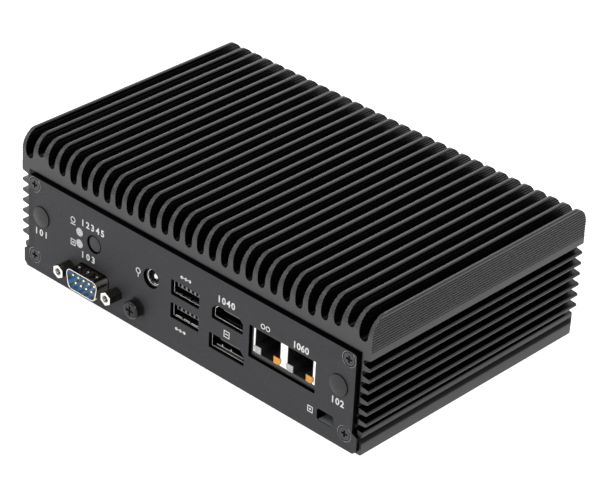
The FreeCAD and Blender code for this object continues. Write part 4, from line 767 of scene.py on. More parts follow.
def new_piece(name: str, mesh: bpy.types.Mesh, finish: Finishes) -> bpy.types.Object:
    """Put a mesh into the scene as a piece with one finish.

    Args:
        name: the piece's plain name.
        mesh: its mesh, in the frame's metres.
        finish: its finish.

    Returns:
        The piece.
    """
    mesh.name = name
    mesh.materials.clear()
    mesh.materials.append(finish.material())
    return placed(name, mesh)


def polygons_mesh(name: str, points: Sequence[Place], faces: Sequence[tuple[int, ...]]) -> bpy.types.Mesh:
    """A mesh from points and faces.

    Args:
        name: the mesh's name.
        points: its corners in metres.
        faces: corner numbers of each face.

    Returns:
        The mesh, with doubles merged and faces pointing outwards.
    """
    mesh = bpy.data.meshes.new(name)
    mesh.from_pydata(points, [], faces)
    with reworked(mesh) as work:
        bmesh.ops.remove_doubles(work, verts=work.verts, dist=0.0005 * MM)
        bmesh.ops.recalc_face_normals(work, faces=work.faces)
    return mesh


def bevelled(piece: bpy.types.Object, easing: Easing) -> bpy.types.Object:
    """Ease a piece's edges with a live bevel.

    Args:
        piece: the piece.
        easing: the bevel's size.

    Returns:
        The piece.
    """
    bevel = piece.modifiers.new("eased_edges", "BEVEL")
    bevel.width = easing.width
    bevel.segments = easing.steps
    bevel.limit_method = "ANGLE"
    bevel.angle_limit = math.radians(easing.sharp)
    bevel.harden_normals = True
    return piece


class GeometryRule(Graph):
    """A geometry tree with named sizes that ends in one finish."""

    def __init__(self, name: str, finish: Finishes) -> None:
        """Start a rule that takes a geometry and gives one.

        Args:
            name: the tree's name.
            finish: what its result is finished with.
        """
        super().__init__(bpy.data.node_groups.new(name, "GeometryNodeTree"))
        self.finish = finish
        self.sizes: dict[str, float] = {}
        self.tree.interface.new_socket("Geometry", in_out="INPUT", socket_type="NodeSocketGeometry")
        self.tree.interface.new_socket("Geometry", in_out="OUTPUT", socket_type="NodeSocketGeometry")
        self.entry = self.tree.nodes.new("NodeGroupInput")
        self.exit = self.tree.nodes.new("NodeGroupOutput")

    def size(self, label: str, value: float, whole: bool = False) -> Signal:
        """Declare a named input.

        Args:
            label: its name.
            value: what it is set to.
            whole: whether it is a whole number.

        Returns:
            The input's value.
        """
        kind = "NodeSocketInt" if whole else "NodeSocketFloat"
        socket = self.tree.interface.new_socket(label, in_out="INPUT", socket_type=kind)
        self.sizes[socket.identifier] = int(value) if whole else float(value)
        return Signal(self, self.entry.outputs[label])

    def geometry(self) -> bpy.types.NodeSocket:
        """The geometry that comes in."""
        return self.entry.outputs["Geometry"]

    def where(self) -> Signal:
        """Each point's position."""
        return Signal(self, self.add("GeometryNodeInputPosition").outputs[0])

    def vector(self, x: Value = 0.0, y: Value = 0.0, z: Value = 0.0) -> Signal:
        """A vector from three numbers."""
        return Signal(self, self.add("ShaderNodeCombineXYZ", {0: x, 1: y, 2: z}).outputs[0])

    def end(self, geometry: bpy.types.NodeSocket) -> None:
        """Close the tree with realised instances and the finish.

        Args:
            geometry: the socket that carries the result.
        """
        real = self.add("GeometryNodeRealizeInstances", {"Geometry": geometry})
        dressed = self.add("GeometryNodeSetMaterial",
                           {"Geometry": real.outputs[0], "Material": self.finish.material()})
        self.feed(self.exit.inputs[0], dressed.outputs[0])

    def run(self, name: str, start: bpy.types.Mesh) -> bpy.types.Object:
        """Run the rule and keep its result as a plain mesh.

        Args:
            name: the piece's name.
            start: the geometry that goes in.

        Returns:
            The piece.
        """
        holder = placed(name + "_rule", start)
        modifier = holder.modifiers.new("rule", "NODES")
        modifier.node_group = self.tree
        for identifier, value in self.sizes.items():
            modifier[identifier] = value
        mesh = plain_mesh(holder)
        holder.modifiers.remove(modifier)
        bpy.data.objects.remove(holder)
        shade(mesh)
        return new_piece(name, mesh, self.finish)


class Assembly:
    """The computer: its frame's nodes, with the body and material slot of each."""

    WELD_REACH = 0.0008 * MM
    FLAT_TURN = math.radians(0.6)

    def __init__(self, loaded: dict[str, Any]) -> None:
        """Read which body and material slot each node belongs to.
        """
        record = loaded["record"]
        self.nodes: dict[str, bpy.types.Object] = loaded["nodes"]
        self.body_of = {node: body for body, nodes in record["behaviour"]["bodies"].items() for node in nodes}
        self.slot_of = {part["node"]: part["material_slot"] for part in record["subparts"]}

    def settle(self, piece: bpy.types.Object, like: str, *replaced: str) -> bpy.types.Object:
        """Tie a piece to the body of a node.

        Args:
            piece: the piece, in its place.
            like: the node that it goes with.
            replaced: the nodes that it stands for.

        Returns:
            The piece.
        """
        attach(piece, self.body_of[like])
        if replaced:
            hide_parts(*replaced)
        log.info("%s rides on %s", piece.name, self.body_of[like])
        return piece

    def paint(self, finish: Finishes, *nodes: str) -> None:
        """Give frame nodes a finish.

        Args:
            finish: the finish.
            nodes: the nodes that get it.
        """
        for node in nodes:
            item = self.nodes[node]
            if not item.material_slots:
                item.data.materials.append(None)
            for slot in item.material_slots:
                slot.link = "OBJECT"
                slot.material = finish.material()
            log.info("%s is painted %s", node, finish.name.lower())

    def welded(self, node: str) -> bpy.types.Mesh:
        """A copy of a node's mesh with its corners joined and its flats whole.

        Args:
            node: the node to copy.

        Returns:
            The copy.
        """
        mesh = self.nodes[node].data.copy()
        with reworked(mesh) as work:
            bmesh.ops.remove_doubles(work, verts=work.verts, dist=self.WELD_REACH)
            bmesh.ops.dissolve_limit(work, angle_limit=self.FLAT_TURN, verts=work.verts, edges=work.edges)
        return mesh

    def ease(self, node: str, finish: Finishes, easing: Easing = Easing()) -> bpy.types.Object:
        """Stand an eased copy in for a node.

        Args:
            node: the node.
            finish: the copy's finish.
            easing: how its edges are eased.

        Returns:
            The copy.
        """
        mesh = self.welded(node)
        shade(mesh, easing.sharp)
        piece = new_piece(node + "_eased", mesh, finish)
        bevelled(piece, easing)
        return self.settle(piece, node, node)


# ------------------------------------------------------ the cooling extrusion
@dataclass(frozen=True)
class Slot:
    """One slot between two fins, in millimetres."""

    centre: float
    half: float
    left_rim: float
    right_rim: float
    floor: float

    @property
    def foot(self) -> float:
        """Height where the rounded floor ends and the flanks begin."""
        return self.floor + self.half


@dataclass
class CoolingExtrusion:
    """The ribbed housing, drawn from its section; every size in millimetres.

    A fin starts at most corner_clear above the foot of the milled arc, which
    keeps the end face flat, and its first row of ridges row_gap above its base.
    The milling leaves what lies less than flat_rise above the arc's foot. A
    face with more than flat_corners corners is an end face and is shaded flat.
    """

    width: float = HOUSING_WIDTH
    depth: float = HOUSING_LENGTH
    height: float = HOUSING_HEIGHT
    fin_pitch: float = 5.85
    fin_height: float = 11.0
    fin_tip: float = 1.7
    slot_width: float = 3.15
    edge_slot_width: float = 3.85
    edge_fin: float = 1.9
    flare: float = 0.5
    floor_lifts: tuple[float, ...] = (1.0, 3.75, 1.45, 0.95)
    corner: float = MILLED_CORNER
    corner_clear: float = 0.5
    ridge_pitch: float = RIDGE_PITCH
    ridge_depth: float = 0.2
    ridge_top_gap: float = RIDGE_TOP_GAP
    ridge_start: float = 0.1
    row_gap: float = 0.2
    band_height: float = 16.4
    band_smooth: float = 3.5
    band_lap: float = 0.3
    edge_round: float = 0.6
    groove_pitch: float = 4.39
    groove_root: float = 2.3
    groove_depths: Point = (3.3, 5.2)
    tooth_tip: float = 1.5
    foot_height: float = FOOT_HEIGHT
    foot_inset: float = 1.6
    notch: tuple[float, float, float, float] = (7.4, 6.0, 4.6, 1.8)
    roof: float = 6.0
    side_wall: float = 8.5
    port_block: float = 12.0
    port_drop: float = 1.6
    port_rise: float = 6.5
    port_reach: float = 3.1
    cover_inset: float = 6.8
    cover_rebate: float = 1.62
    arc_steps: int = 6
    flat_corners: int = 40
    flat_rise: float = 0.8
    sharp: float = 30.0
    points: list[Point] = field(default_factory=list)
    faces: list[tuple[int, ...]] = field(default_factory=list)
    rim: list[int] = field(default_factory=list)

    def slots(self) -> list[Slot]:
        """Every slot of the roof, from left to right.

        Returns:
            The slots.
        """
        reach = self.width / 2 - self.edge_slot_width / 2 - self.edge_fin
        count = 1 + int(2 * reach / self.fin_pitch)
        inner_rim = (self.fin_pitch - self.fin_tip) / 2
        result = []
        for index in range(count):
            from_edge = min(index, count - 1 - index)
            lift = self.floor_lifts[from_edge] if from_edge < len(self.floor_lifts) else 0.0
            half = (self.edge_slot_width if from_edge == 0 else self.slot_width) / 2
            left = half + self.flare if index == 0 else inner_rim
            right = half + self.flare if index == count - 1 else inner_rim
            centre = (index - (count - 1) / 2) * self.fin_pitch
            result.append(Slot(centre, half, left, right, self.height - self.fin_height + lift))
        return result

    def ridge(self, z: float) -> float:
        """Depth of the ridge wave at a height, 0 on a crest and 1 in a valley."""
        below = (self.height - self.ridge_top_gap - z) / self.ridge_pitch
        return 0.0 if below < 0 else 1.0 - abs(2.0 * (below % 1.0) - 1.0)

    def ridge_rows(self, low: float) -> list[float]:
        """Heights of crests and valleys from the top down to a height.

        Args:
            low: the lowest height.

        Returns:
            The heights.
        """
        top = self.height - self.ridge_top_gap
        count = int((top - low) / (self.ridge_pitch / 2))
        return [top - step * self.ridge_pitch / 2 for step in range(count + 1)]

    def corner_point(self, x: float, z: float) -> int:
        """Add a corner of the section and give its number."""
        self.points.append((x, z))
        return len(self.points) - 1

    def arc(self, centre: Point, radius: float, start: float, turn: float) -> list[Point]:
        """Points of an arc in the section.

        Args:
            centre: its X and Z.
            radius: its radius.
            start: its first angle in degrees, from +X towards +Z.
            turn: how far it turns.

        Returns:
            Its points, both ends included.
        """
        steps = max(2, round(self.arc_steps * abs(turn) / 90))
        angles = [math.radians(start + turn * step / steps) for step in range(steps + 1)]
        return [(centre[0] + radius * math.cos(a), centre[1] + radius * math.sin(a)) for a in angles]

    def flank_x(self, slot: Slot, side: int, z: float) -> float:
        """X of a slot's flank at a height.

        Args:
            slot: the slot.
            side: -1 for its left flank, 1 for its right one.
            z: the height.

        Returns:
            X, ridge included.
        """
        if z < slot.foot:
            return slot.centre + side * math.sqrt(max(0.0, slot.half ** 2 - (slot.foot - z) ** 2))
        rim = slot.left_rim if side < 0 else slot.right_rim
        share = (z - slot.foot) / (self.height - self.fin_tip / 2 - slot.foot)
        wave = self.ridge(z) * self.ridge_depth if z > slot.foot + self.ridge_start else 0.0
        return slot.centre + side * (slot.half + (rim - slot.half) * share + wave)

    def base(self, left: Slot | None, right: Slot | None) -> float:
        """Height where the fin between two slots starts, never far up its milled end."""
        highest = self.height - self.corner + self.corner_clear
        return max(min(slot.foot, highest) for slot in (left, right) if slot)

    def fin(self, left: Slot | None, right: Slot | None) -> None:
        """Add one fin as rows of faces and its lower corners to the rim.

        Args:
            left: the slot on its left, or None at the left edge.
            right: the slot on its right, or None at the right edge.
        """
        edge = self.width / 2
        base = self.base(left, right)
        rim_z = self.height - self.fin_tip / 2

        def sides(z: float) -> Point:
            """X of the fin's left and right flank at a height.

            Args:
                z: the height.

            Returns:
                X of the left flank and of the right one.
            """
            outer = edge - self.ridge(z) * self.ridge_depth
            low = self.flank_x(left, 1, z) if left else -outer
            high = self.flank_x(right, -1, z) if right else outer
            return low, high

        low_x, high_x = sides(rim_z)
        middle, radius = (low_x + high_x) / 2, (high_x - low_x) / 2
        rows = []
        for step in range(1, self.arc_steps + 1):
            angle = math.radians(90 * step / self.arc_steps)
            z = self.height - radius * (1 - math.cos(angle))
            rows.append((z, middle - radius * math.sin(angle), middle + radius * math.sin(angle)))
        rows += [(z, *sides(z)) for z in self.ridge_rows(base) if z > base + self.row_gap]
        crest = self.corner_point(middle, self.height)
        above: tuple[int, ...] = (crest,)
        for z, low, high in rows:
            row = (self.corner_point(low, z), self.corner_point(high, z))
            self.faces.append((*row, *reversed(above)) if len(above) > 1 else (*row, crest))
            above = row
        self.rim += list(above)

    def slot_floor(self, slot: Slot, from_z: float, to_z: float) -> None:
        """Add a slot's lower flanks and floor to the rim.

        Args:
            slot: the slot.
            from_z: height of the rim's last corner on its left.
            to_z: height of the rim's next corner on its right.
        """
        rows = [row for row in self.ridge_rows(slot.foot) if row > slot.foot + self.row_gap]
        down = [(self.flank_x(slot, -1, z), z) for z in rows if z < from_z - self.ridge_start]
        cut = math.degrees(math.asin(max(0.0, slot.foot - from_z) / slot.half))
        bed = self.arc((slot.centre, slot.foot), slot.half, 180.0 + cut, 180.0 - 2 * cut)
        up = [(self.flank_x(slot, 1, z), z) for z in reversed(rows) if z < to_z - self.ridge_start]
        self.rim += [self.corner_point(x, z) for x, z in down + (bed[1:-1] if cut else bed) + up]

    def right_wall(self) -> list[Point]:
        """Outline of the right wall from the lowest outer row down and round.

        Returns:
            X and Z of its corners.
        """
        edge = self.width / 2
        band = self.height - self.band_height
        outline = [(edge, band + self.band_smooth - self.band_lap)]
        outline += self.arc((edge - self.edge_round, band + self.edge_round), self.edge_round, 0.0, -90.0)
        count = max(1, int((band - self.foot_height + self.tooth_tip) / self.groove_pitch))
        mouth = self.groove_pitch - self.tooth_tip
        top = band
        root_radius = self.groove_root / 2
        for index in range(count):
            share = index / max(1, count - 1)
            depth = self.groove_depths[0] + (self.groove_depths[1] - self.groove_depths[0]) * share
            root = (edge - depth + root_radius, top - mouth / 2)
            outline += self.arc(root, root_radius, 90.0, 180.0)
            top -= mouth
            if index < count - 1:
                tip = self.tooth_tip / 2
                outline += self.arc((edge - tip, top - tip), tip, 90.0, -180.0)
                top -= self.tooth_tip
        face = edge - self.foot_inset
        high, floor, low, depth = self.notch
        outline += self.arc((face - self.edge_round, top - self.edge_round), self.edge_round, 90.0, -90.0)
        outline += [(face, high), (face - depth, floor), (face, low)]
        outline += self.arc((face - self.edge_round, self.edge_round), self.edge_round, 0.0, -90.0)
        return self.lowest_rows(band + self.band_smooth) + outline + self.inner_wall()

    def lowest_rows(self, low: float) -> list[Point]:
        """The outer ridges between the fin's own rows and a height.

        Args:
            low: the lowest height.

        Returns:
            X and Z of their crests and valleys.
        """
        edge = self.width / 2
        top = self.slots()[-1].foot + self.row_gap
        return [(edge - self.ridge(z) * self.ridge_depth, z) for z in self.ridge_rows(low) if z <= top]

    def inner_wall(self) -> list[Point]:
        """Outline inside the right wall, from the base up to the ceiling.

        Returns:
            X and Z of its corners.
        """
        edge = self.width / 2
        ceiling = self.height - self.fin_height - self.roof
        cover, port, wall = edge - self.cover_inset, edge - self.port_block, edge - self.side_wall
        low = self.port_rise + self.port_reach
        high = ceiling - self.port_drop - self.port_reach
        return [(cover, 0.0), (cover, self.cover_rebate), (port, self.cover_rebate), (port, low), (wall, low),
                (wall, high), (port, high), (port, ceiling)]

    def section(self) -> bpy.types.Mesh:
        """The section as a flat mesh at the front end.

        Returns:
            The mesh, with the fins and the body as separate faces.
        """
        slots = self.slots()
        neighbours = list(zip([None, *slots], [*slots, None]))
        for left, right in neighbours:
            if left:
                before = self.points[self.rim[-1]][1]
                self.slot_floor(left, before, self.base(left, right))
            self.fin(left, right)
        right_wall = self.right_wall()
        self.rim += [self.corner_point(x, z) for x, z in right_wall]
        self.rim += [self.corner_point(-x, z) for x, z in reversed(right_wall)]
        faces = [*self.faces, tuple(self.rim)]
        points = [(x * MM, -self.depth / 2 * MM, z * MM) for x, z in self.points]
        return polygons_mesh("section", points, faces)

    def rule(self) -> GeometryRule:
        """Geometry rule that draws the section out and mills its ends round.

        Returns:
            The rule, ready to run on the section.
        """
        rule = GeometryRule("draw_and_mill", Finishes.EXTRUSION)
        length = rule.size("Length", self.depth * MM)
        height = rule.size("Height", self.height * MM)
        corner = rule.size("Corner radius", self.corner * MM)
        drawn = rule.add("GeometryNodeExtrudeMesh", {"Mesh": rule.geometry(), "Offset": rule.vector(y=length),
                                                     "Offset Scale": 1.0, "Individual": False}, mode="FACES")
        front = rule.add("GeometryNodeFlipFaces", {"Mesh": rule.geometry()})
        both = rule.add("GeometryNodeJoinGeometry")
        rule.feed(both.inputs[0], drawn.outputs[0])
        rule.feed(both.inputs[0], front.outputs[0])
        whole = rule.add("GeometryNodeMergeByDistance", {"Geometry": both.outputs[0], "Distance": 0.001 * MM})
        _, y, z = rule.where().parts()
        rise = (z - (height - corner)).math("MAXIMUM", 0.0).math("MINIMUM", corner)
        flat = rule.size("Flat rise", self.flat_rise * MM)
        cut = (corner - (corner * corner - rise * rise).math("SQRT")) * (rise > flat)
        shift = -(y.math("SIGN") * cut)
        milled = rule.add("GeometryNodeSetPosition",
                          {"Geometry": whole.outputs[0], "Offset": rule.vector(y=shift)})
        rule.end(milled.outputs[0])
        return rule

    def build(self, computer: Assembly) -> None:
        """Draw the extrusion and stand it in for its node.

        Args:
            computer: the assembly.
        """
        piece = self.rule().run("cooling_extrusion", self.section())
        with reworked(piece.data) as work:
            bmesh.ops.recalc_face_normals(work, faces=work.faces)
        shade(piece.data, self.sharp)
        for end in piece.data.polygons:
            if end.loop_total > self.flat_corners:
                end.use_smooth = False
        computer.settle(piece, "heatsink_body", "heatsink_body")


# ------------------------------------------------------------ small fittings
def across(middle: float, width: float) -> Point:
    """Both ends of a width about its middle."""
    return middle - width / 2, middle + width / 2


def moved(span: Point, by: float) -> Point:
    """Both ends of a span, moved along."""
    return span[0] + by, span[1] + by


def circle(steps: int) -> list[float]:
    """Angles of equal steps round a circle."""
    return [2 * math.pi * step / steps for step in range(steps)]


class Sketch:
    """Gathers closed forms, in millimetres, into one piece."""

    WIRE_SIDES = 8
    SHARP_TURN = 35.0

    def __init__(self) -> None:
        """Start with nothing."""
        self.work = bmesh.new()

    def corners(self, points: Iterable[Place]) -> list[bmesh.types.BMVert]:
        """Add the corners of one ring."""
        return [self.work.verts.new(Vector(point) * MM) for point in points]

    def bridge(self, rings: Sequence[list[bmesh.types.BMVert]]) -> None:
        """Span each ring and the next with faces.

        Args:
            rings: rings of equal count.
        """
        for first, second in zip(rings, rings[1:]):
            for index, corner in enumerate(first):
                after = (index + 1) % len(first)
                self.work.faces.new((corner, first[after], second[after], second[index]))

    def loft(self, rings: Sequence[Sequence[Place]]) -> "Sketch":
        """Join closed rings of equal count and cap both ends.

        Args:
            rings: each ring's corners, from one end to the other.

        Returns:
            This sketch.
        """
        rows = [self.corners(ring) for ring in rings]
        self.bridge(rows)
        self.work.faces.new(list(reversed(rows[0])))
        self.work.faces.new(rows[-1])
        return self

    def prism(self, outline: Sequence[Point], y0: float, y1: float) -> "Sketch":
        """A form with an outline in X and Z that runs along Y."""
        return self.loft([[(x, y, z) for x, z in outline] for y in (y0, y1)])

    def block(self, x: Point, y: Point, z: Point) -> "Sketch":
        """A box between two places on each axis."""
        return self.prism([(x[0], z[0]), (x[1], z[0]), (x[1], z[1]), (x[0], z[1])], *y)

    def turn(self, axis: Point, profile: Sequence[Point], steps: int = 40) -> "Sketch":
        """A form turned round an axis along Y.

        Args:
            axis: X and Z of the axis.
            profile: radius and Y of each ring.
            steps: how many sides the rings have.

        Returns:
            This sketch.
        """
        return self.loft([[(axis[0] + radius * math.cos(a), y, axis[1] + radius * math.sin(a))
                           for a in circle(steps)] for radius, y in profile])

    def torus(self, axis: Point, y: float, radius: float, wire: float, steps: int = 36) -> "Sketch":
        """A ring of round wire about an axis along Y.

        Args:
            axis: X and Z of the axis.
            y: where the ring lies along it.
            radius: the ring's radius.
            wire: the wire's radius.
            steps: how many sides the ring has.

        Returns:
            This sketch.
        """
        section = [(radius + wire * math.cos(a), y + wire * math.sin(a)) for a in circle(self.WIRE_SIDES)]
        rings = [self.corners((axis[0] + reach * math.cos(turn), along, axis[1] + reach * math.sin(turn))
                              for reach, along in section) for turn in circle(steps)]
        self.bridge(rings + rings[:1])
        return self

    def leaf(self, path: Sequence[Point], x: Point, thickness: float) -> "Sketch":
        """A bent strip of sheet: its path in Y and Z, swept across X.

        Args:
            path: Y and Z along the strip's middle.
            x: its two sides.
            thickness: the sheet's thickness.

        Returns:
            This sketch.
        """
        rings = []
        for index, (y, z) in enumerate(path):
            before, after = path[max(index - 1, 0)], path[min(index + 1, len(path) - 1)]
            along = Vector((after[0] - before[0], after[1] - before[1])).normalized()
            dy, dz = -along.y * thickness / 2, along.x * thickness / 2
            rings.append([(x[0], y + dy, z + dz), (x[1], y + dy, z + dz), (x[1], y - dy, z - dz),
                          (x[0], y - dy, z - dz)])
        return self.loft(rings)

    def mesh(self, name: str) -> bpy.types.Mesh:
        """The gathered forms as a mesh with its faces outwards.

        Args:
            name: the mesh's name.

        Returns:
            The mesh.
        """
        bmesh.ops.recalc_face_normals(self.work, faces=self.work.faces)
        mesh = bpy.data.meshes.new(name)
        self.work.to_mesh(mesh)
        self.work.free()
        return mesh

    def piece(self, name: str, finish: Finishes, easing: Easing | None = None) -> bpy.types.Object:
        """The gathered forms as a piece.

        Args:
            name: its plain name.
            finish: its finish.
            easing: how its edges are eased, if they are.

        Returns:
            The piece.
        """
        mesh = self.mesh(name)
        shade(mesh, easing.sharp if easing else self.SHARP_TURN)
        piece = new_piece(name, mesh, finish)
        return bevelled(piece, easing) if easing else piece


@dataclass(frozen=True)
class Row:
    """Equal forms side by side: how many, and the step between them in millimetres."""

    count: int
    step: Place

    def lay(self, name: str, first: bpy.types.Mesh, finish: Finishes) -> bpy.types.Object:
        """Repeat a form along the row.

        Args:
            name: the piece's plain name.
            first: the first form, in its place.
            finish: its finish.

        Returns:
            The row as one piece.
        """
        rule = GeometryRule(name + "_row", finish)
        count = rule.size("Count", self.count, whole=True)
        steps = [rule.size("Step " + axis, value * MM) for axis, value in zip("XYZ", self.step)]
        line = rule.add("GeometryNodeMeshLine", {"Count": count, "Offset": rule.vector(*steps)},
                        mode="OFFSET", count_mode="TOTAL")
        copies = rule.add("GeometryNodeInstanceOnPoints",
                          {"Points": line.outputs[0], "Instance": rule.geometry()})
        rule.end(copies.outputs[0])
        return rule.run(name, first)


@dataclass
class SocketPanel:
    """The front plate's eased edges, countersink rims with a ring of painted shade, and a strip of painted
    light on the lock slot's floor; in millimetres.
    """

    face: float = PANEL_FACE
    screw_x: float = 77.6
    screw_z: Point = (6.5, 36.4)
    # the second ring is painted shade in the gap round each screw head
    rims: tuple[tuple[float, float, Finishes], ...] = (
        (2.98, 0.1, Finishes.RIM), (2.72, 0.16, Finishes.HOLLOW))
    # painted light: strip on the lock slot's floor
    lock_floor_light: tuple[Point, Point, Point] = ((65.4, 71.8), (-57.2, -52.0), (6.02, 6.18))

    def screw_rims(self, computer: Assembly) -> None:
        """Rims of the countersinks and round the heads of the panel screws: a metal rim and a ring of painted
        shade.

        Args:
            computer: the assembly.
        """
        rise = self.screw_z[1] - self.screw_z[0]
        for side, x in (("left", -self.screw_x), ("right", self.screw_x)):
            for index, (radius, wire, finish) in enumerate(self.rims):
                ring = Sketch().torus((x, self.screw_z[0]), self.face + 0.5 * wire, radius, wire)
                name = f"screw_rims_{side}_{index}"
                piece = Row(2, (0.0, 0.0, rise)).lay(name, ring.mesh("rim"), finish)
                computer.settle(piece, "front_panel_screws")

    def build(self, computer: Assembly) -> None:
        """Ease the plate, dress its screws and lay a strip of painted light on the lock slot's floor.

        Args:
            computer: the assembly.
        """
        computer.ease("front_panel", Finishes.PANEL, Easing(0.14 * MM, 2))
        computer.ease("front_panel_screws", Finishes.OXIDE, Easing(0.08 * MM, 2))
        self.screw_rims(computer)
        # painted light: a lighter strip on the lock slot's floor
        sill = Sketch().block(*self.lock_floor_light)
        computer.settle(sill.piece("lock_slot_sill", Finishes.SILL), "front_panel")


@dataclass
class AntennaPlugs:
    """Push-in plugs that close the two antenna holes; in millimetres."""

    axis_x: float = 73.8
    axis_z: float = 24.4
    face: float = PANEL_FACE
    radius: float = 4.05
    rim: float = 0.32
    crown: float = 0.46
    crown_rows: tuple[float, ...] = (0.15, 0.35, 0.55, 0.75, 0.9, 1.0)
    edge: float = 0.32
    edge_rows: int = 4
    seat: float = 0.05
    sides: int = 48
    # painted shade: radius and wire of the dark ring in the gap round each plug
    ring: Point = (4.12, 0.1)

    def profile(self) -> list[Point]:
        """Radius and Y from the middle of the crown to the panel.

        Returns:
            Radius and Y of each ring.
        """
        front = self.face - self.rim
        flat = self.radius - self.edge
        rows = [(flat * share, front - self.crown * (1 - share * share)) for share in self.crown_rows]
        for step in range(1, self.edge_rows + 1):
            angle = math.radians(90 * step / self.edge_rows)
            rows.append((flat + self.edge * math.sin(angle), front + self.edge * (1 - math.cos(angle))))
        return rows + [(self.radius, self.face + self.seat)]

    def build(self, computer: Assembly) -> None:
        """Turn a cap over each plug's plain solid and lay a ring of painted shade round it.

        Args:
            computer: the assembly.
        """
        for name, x in (("left", -self.axis_x), ("right", self.axis_x)):
            node = "antenna_plug_" + name
            computer.paint(Finishes.PLUG, node)
            cap = Sketch().turn((x, self.axis_z), self.profile(), self.sides)
            computer.settle(cap.piece("antenna_cap_" + name, Finishes.PLUG), node)
            # painted shade: a dark ring in the gap round the plug
            ring = Sketch().torus((x, self.axis_z), self.face, *self.ring)
            computer.settle(ring.piece("antenna_ring_" + name, Finishes.HOLLOW), "front_panel")


@dataclass
class SerialSocket:
    """The nine-pin socket's fine parts; in millimetres."""

    middle: Point = SERIAL_MIDDLE
    rim: float = -63.5
    face: float = PANEL_FACE
    height: float = 8.4
    sharp: float = 30.0
    screw_span: float = 24.99
    dimple: float = 1.3
    dimple_depth: float = 0.32
    dimple_step: float = 4.6
    dimple_shift: float = 0.2
    thread: float = 1.42
    thread_wire: float = 0.12
    thread_start: float = 0.55
    thread_pitch: float = 0.42
    thread_turns: int = 9
    thread_sides: int = 24

    def dimples(self) -> bpy.types.Object:
        """Tool for the three pressed dimples on top of the sleeve.

        Returns:
            Three balls as one object.
        """
        mesh = bpy.data.meshes.new("dimple_tool")
        y = (self.rim + self.face) / 2 - self.dimple_shift
        z = self.middle[1] + self.height / 2 + self.dimple - self.dimple_depth
        with reworked(mesh) as tool:
            for index in (-1, 0, 1):
                place = Vector((self.middle[0] + index * self.dimple_step, y, z)) * MM
                bmesh.ops.create_uvsphere(tool, u_segments=24, v_segments=16, radius=self.dimple * MM,
                                          matrix=Matrix.Translation(place))
        return placed("dimple_tool", mesh)

    def shell(self, computer: Assembly) -> None:
        """Press the dimples into a copy of the sleeve and ease it.

        Args:
            computer: the assembly.
        """
        holder = placed("serial_sleeve", computer.welded("serial_shell"))
        tool = self.dimples()
        cut = holder.modifiers.new("press", "BOOLEAN")
        cut.object = tool
        cut.operation = "DIFFERENCE"
        cut.solver = "EXACT"
        pressed = plain_mesh(holder)
        for used in (holder, tool):
            bpy.data.objects.remove(used)
        shade(pressed, self.sharp)
        piece = new_piece("serial_shell_pressed", pressed, Finishes.SLEEVE)
        computer.settle(bevelled(piece, Easing(0.09 * MM, 2, 40.0)), "serial_shell", "serial_shell")

    def threads(self, computer: Assembly) -> None:
        """Thread rings inside the jackscrews' mouths.

        Args:
            computer: the assembly.
        """
        row = Row(self.thread_turns, (0.0, self.thread_pitch, 0.0))
        for name, side in (("left", -1), ("right", 1)):
            axis = (self.middle[0] + side * self.screw_span / 2, self.middle[1])
            ring = Sketch().torus(axis, self.rim + self.thread_start, self.thread, self.thread_wire,
                                  self.thread_sides)
            piece = row.lay("jackscrew_thread_" + name, ring.mesh("thread"), Finishes.NICKEL)
            computer.settle(piece, "serial_jackscrews")

    def build(self, computer: Assembly) -> None:
        """Dress the socket.

        Args:
            computer: the assembly.
        """
        self.shell(computer)
        self.threads(computer)
        computer.ease("serial_jackscrews", Finishes.HEX, Easing(0.22 * MM, 3))
        computer.ease("serial_insert", Finishes.INSERT, Easing(0.1 * MM, 2))
        computer.ease("serial_pins", Finishes.GOLD, Easing(0.06 * MM, 1, 50.0))


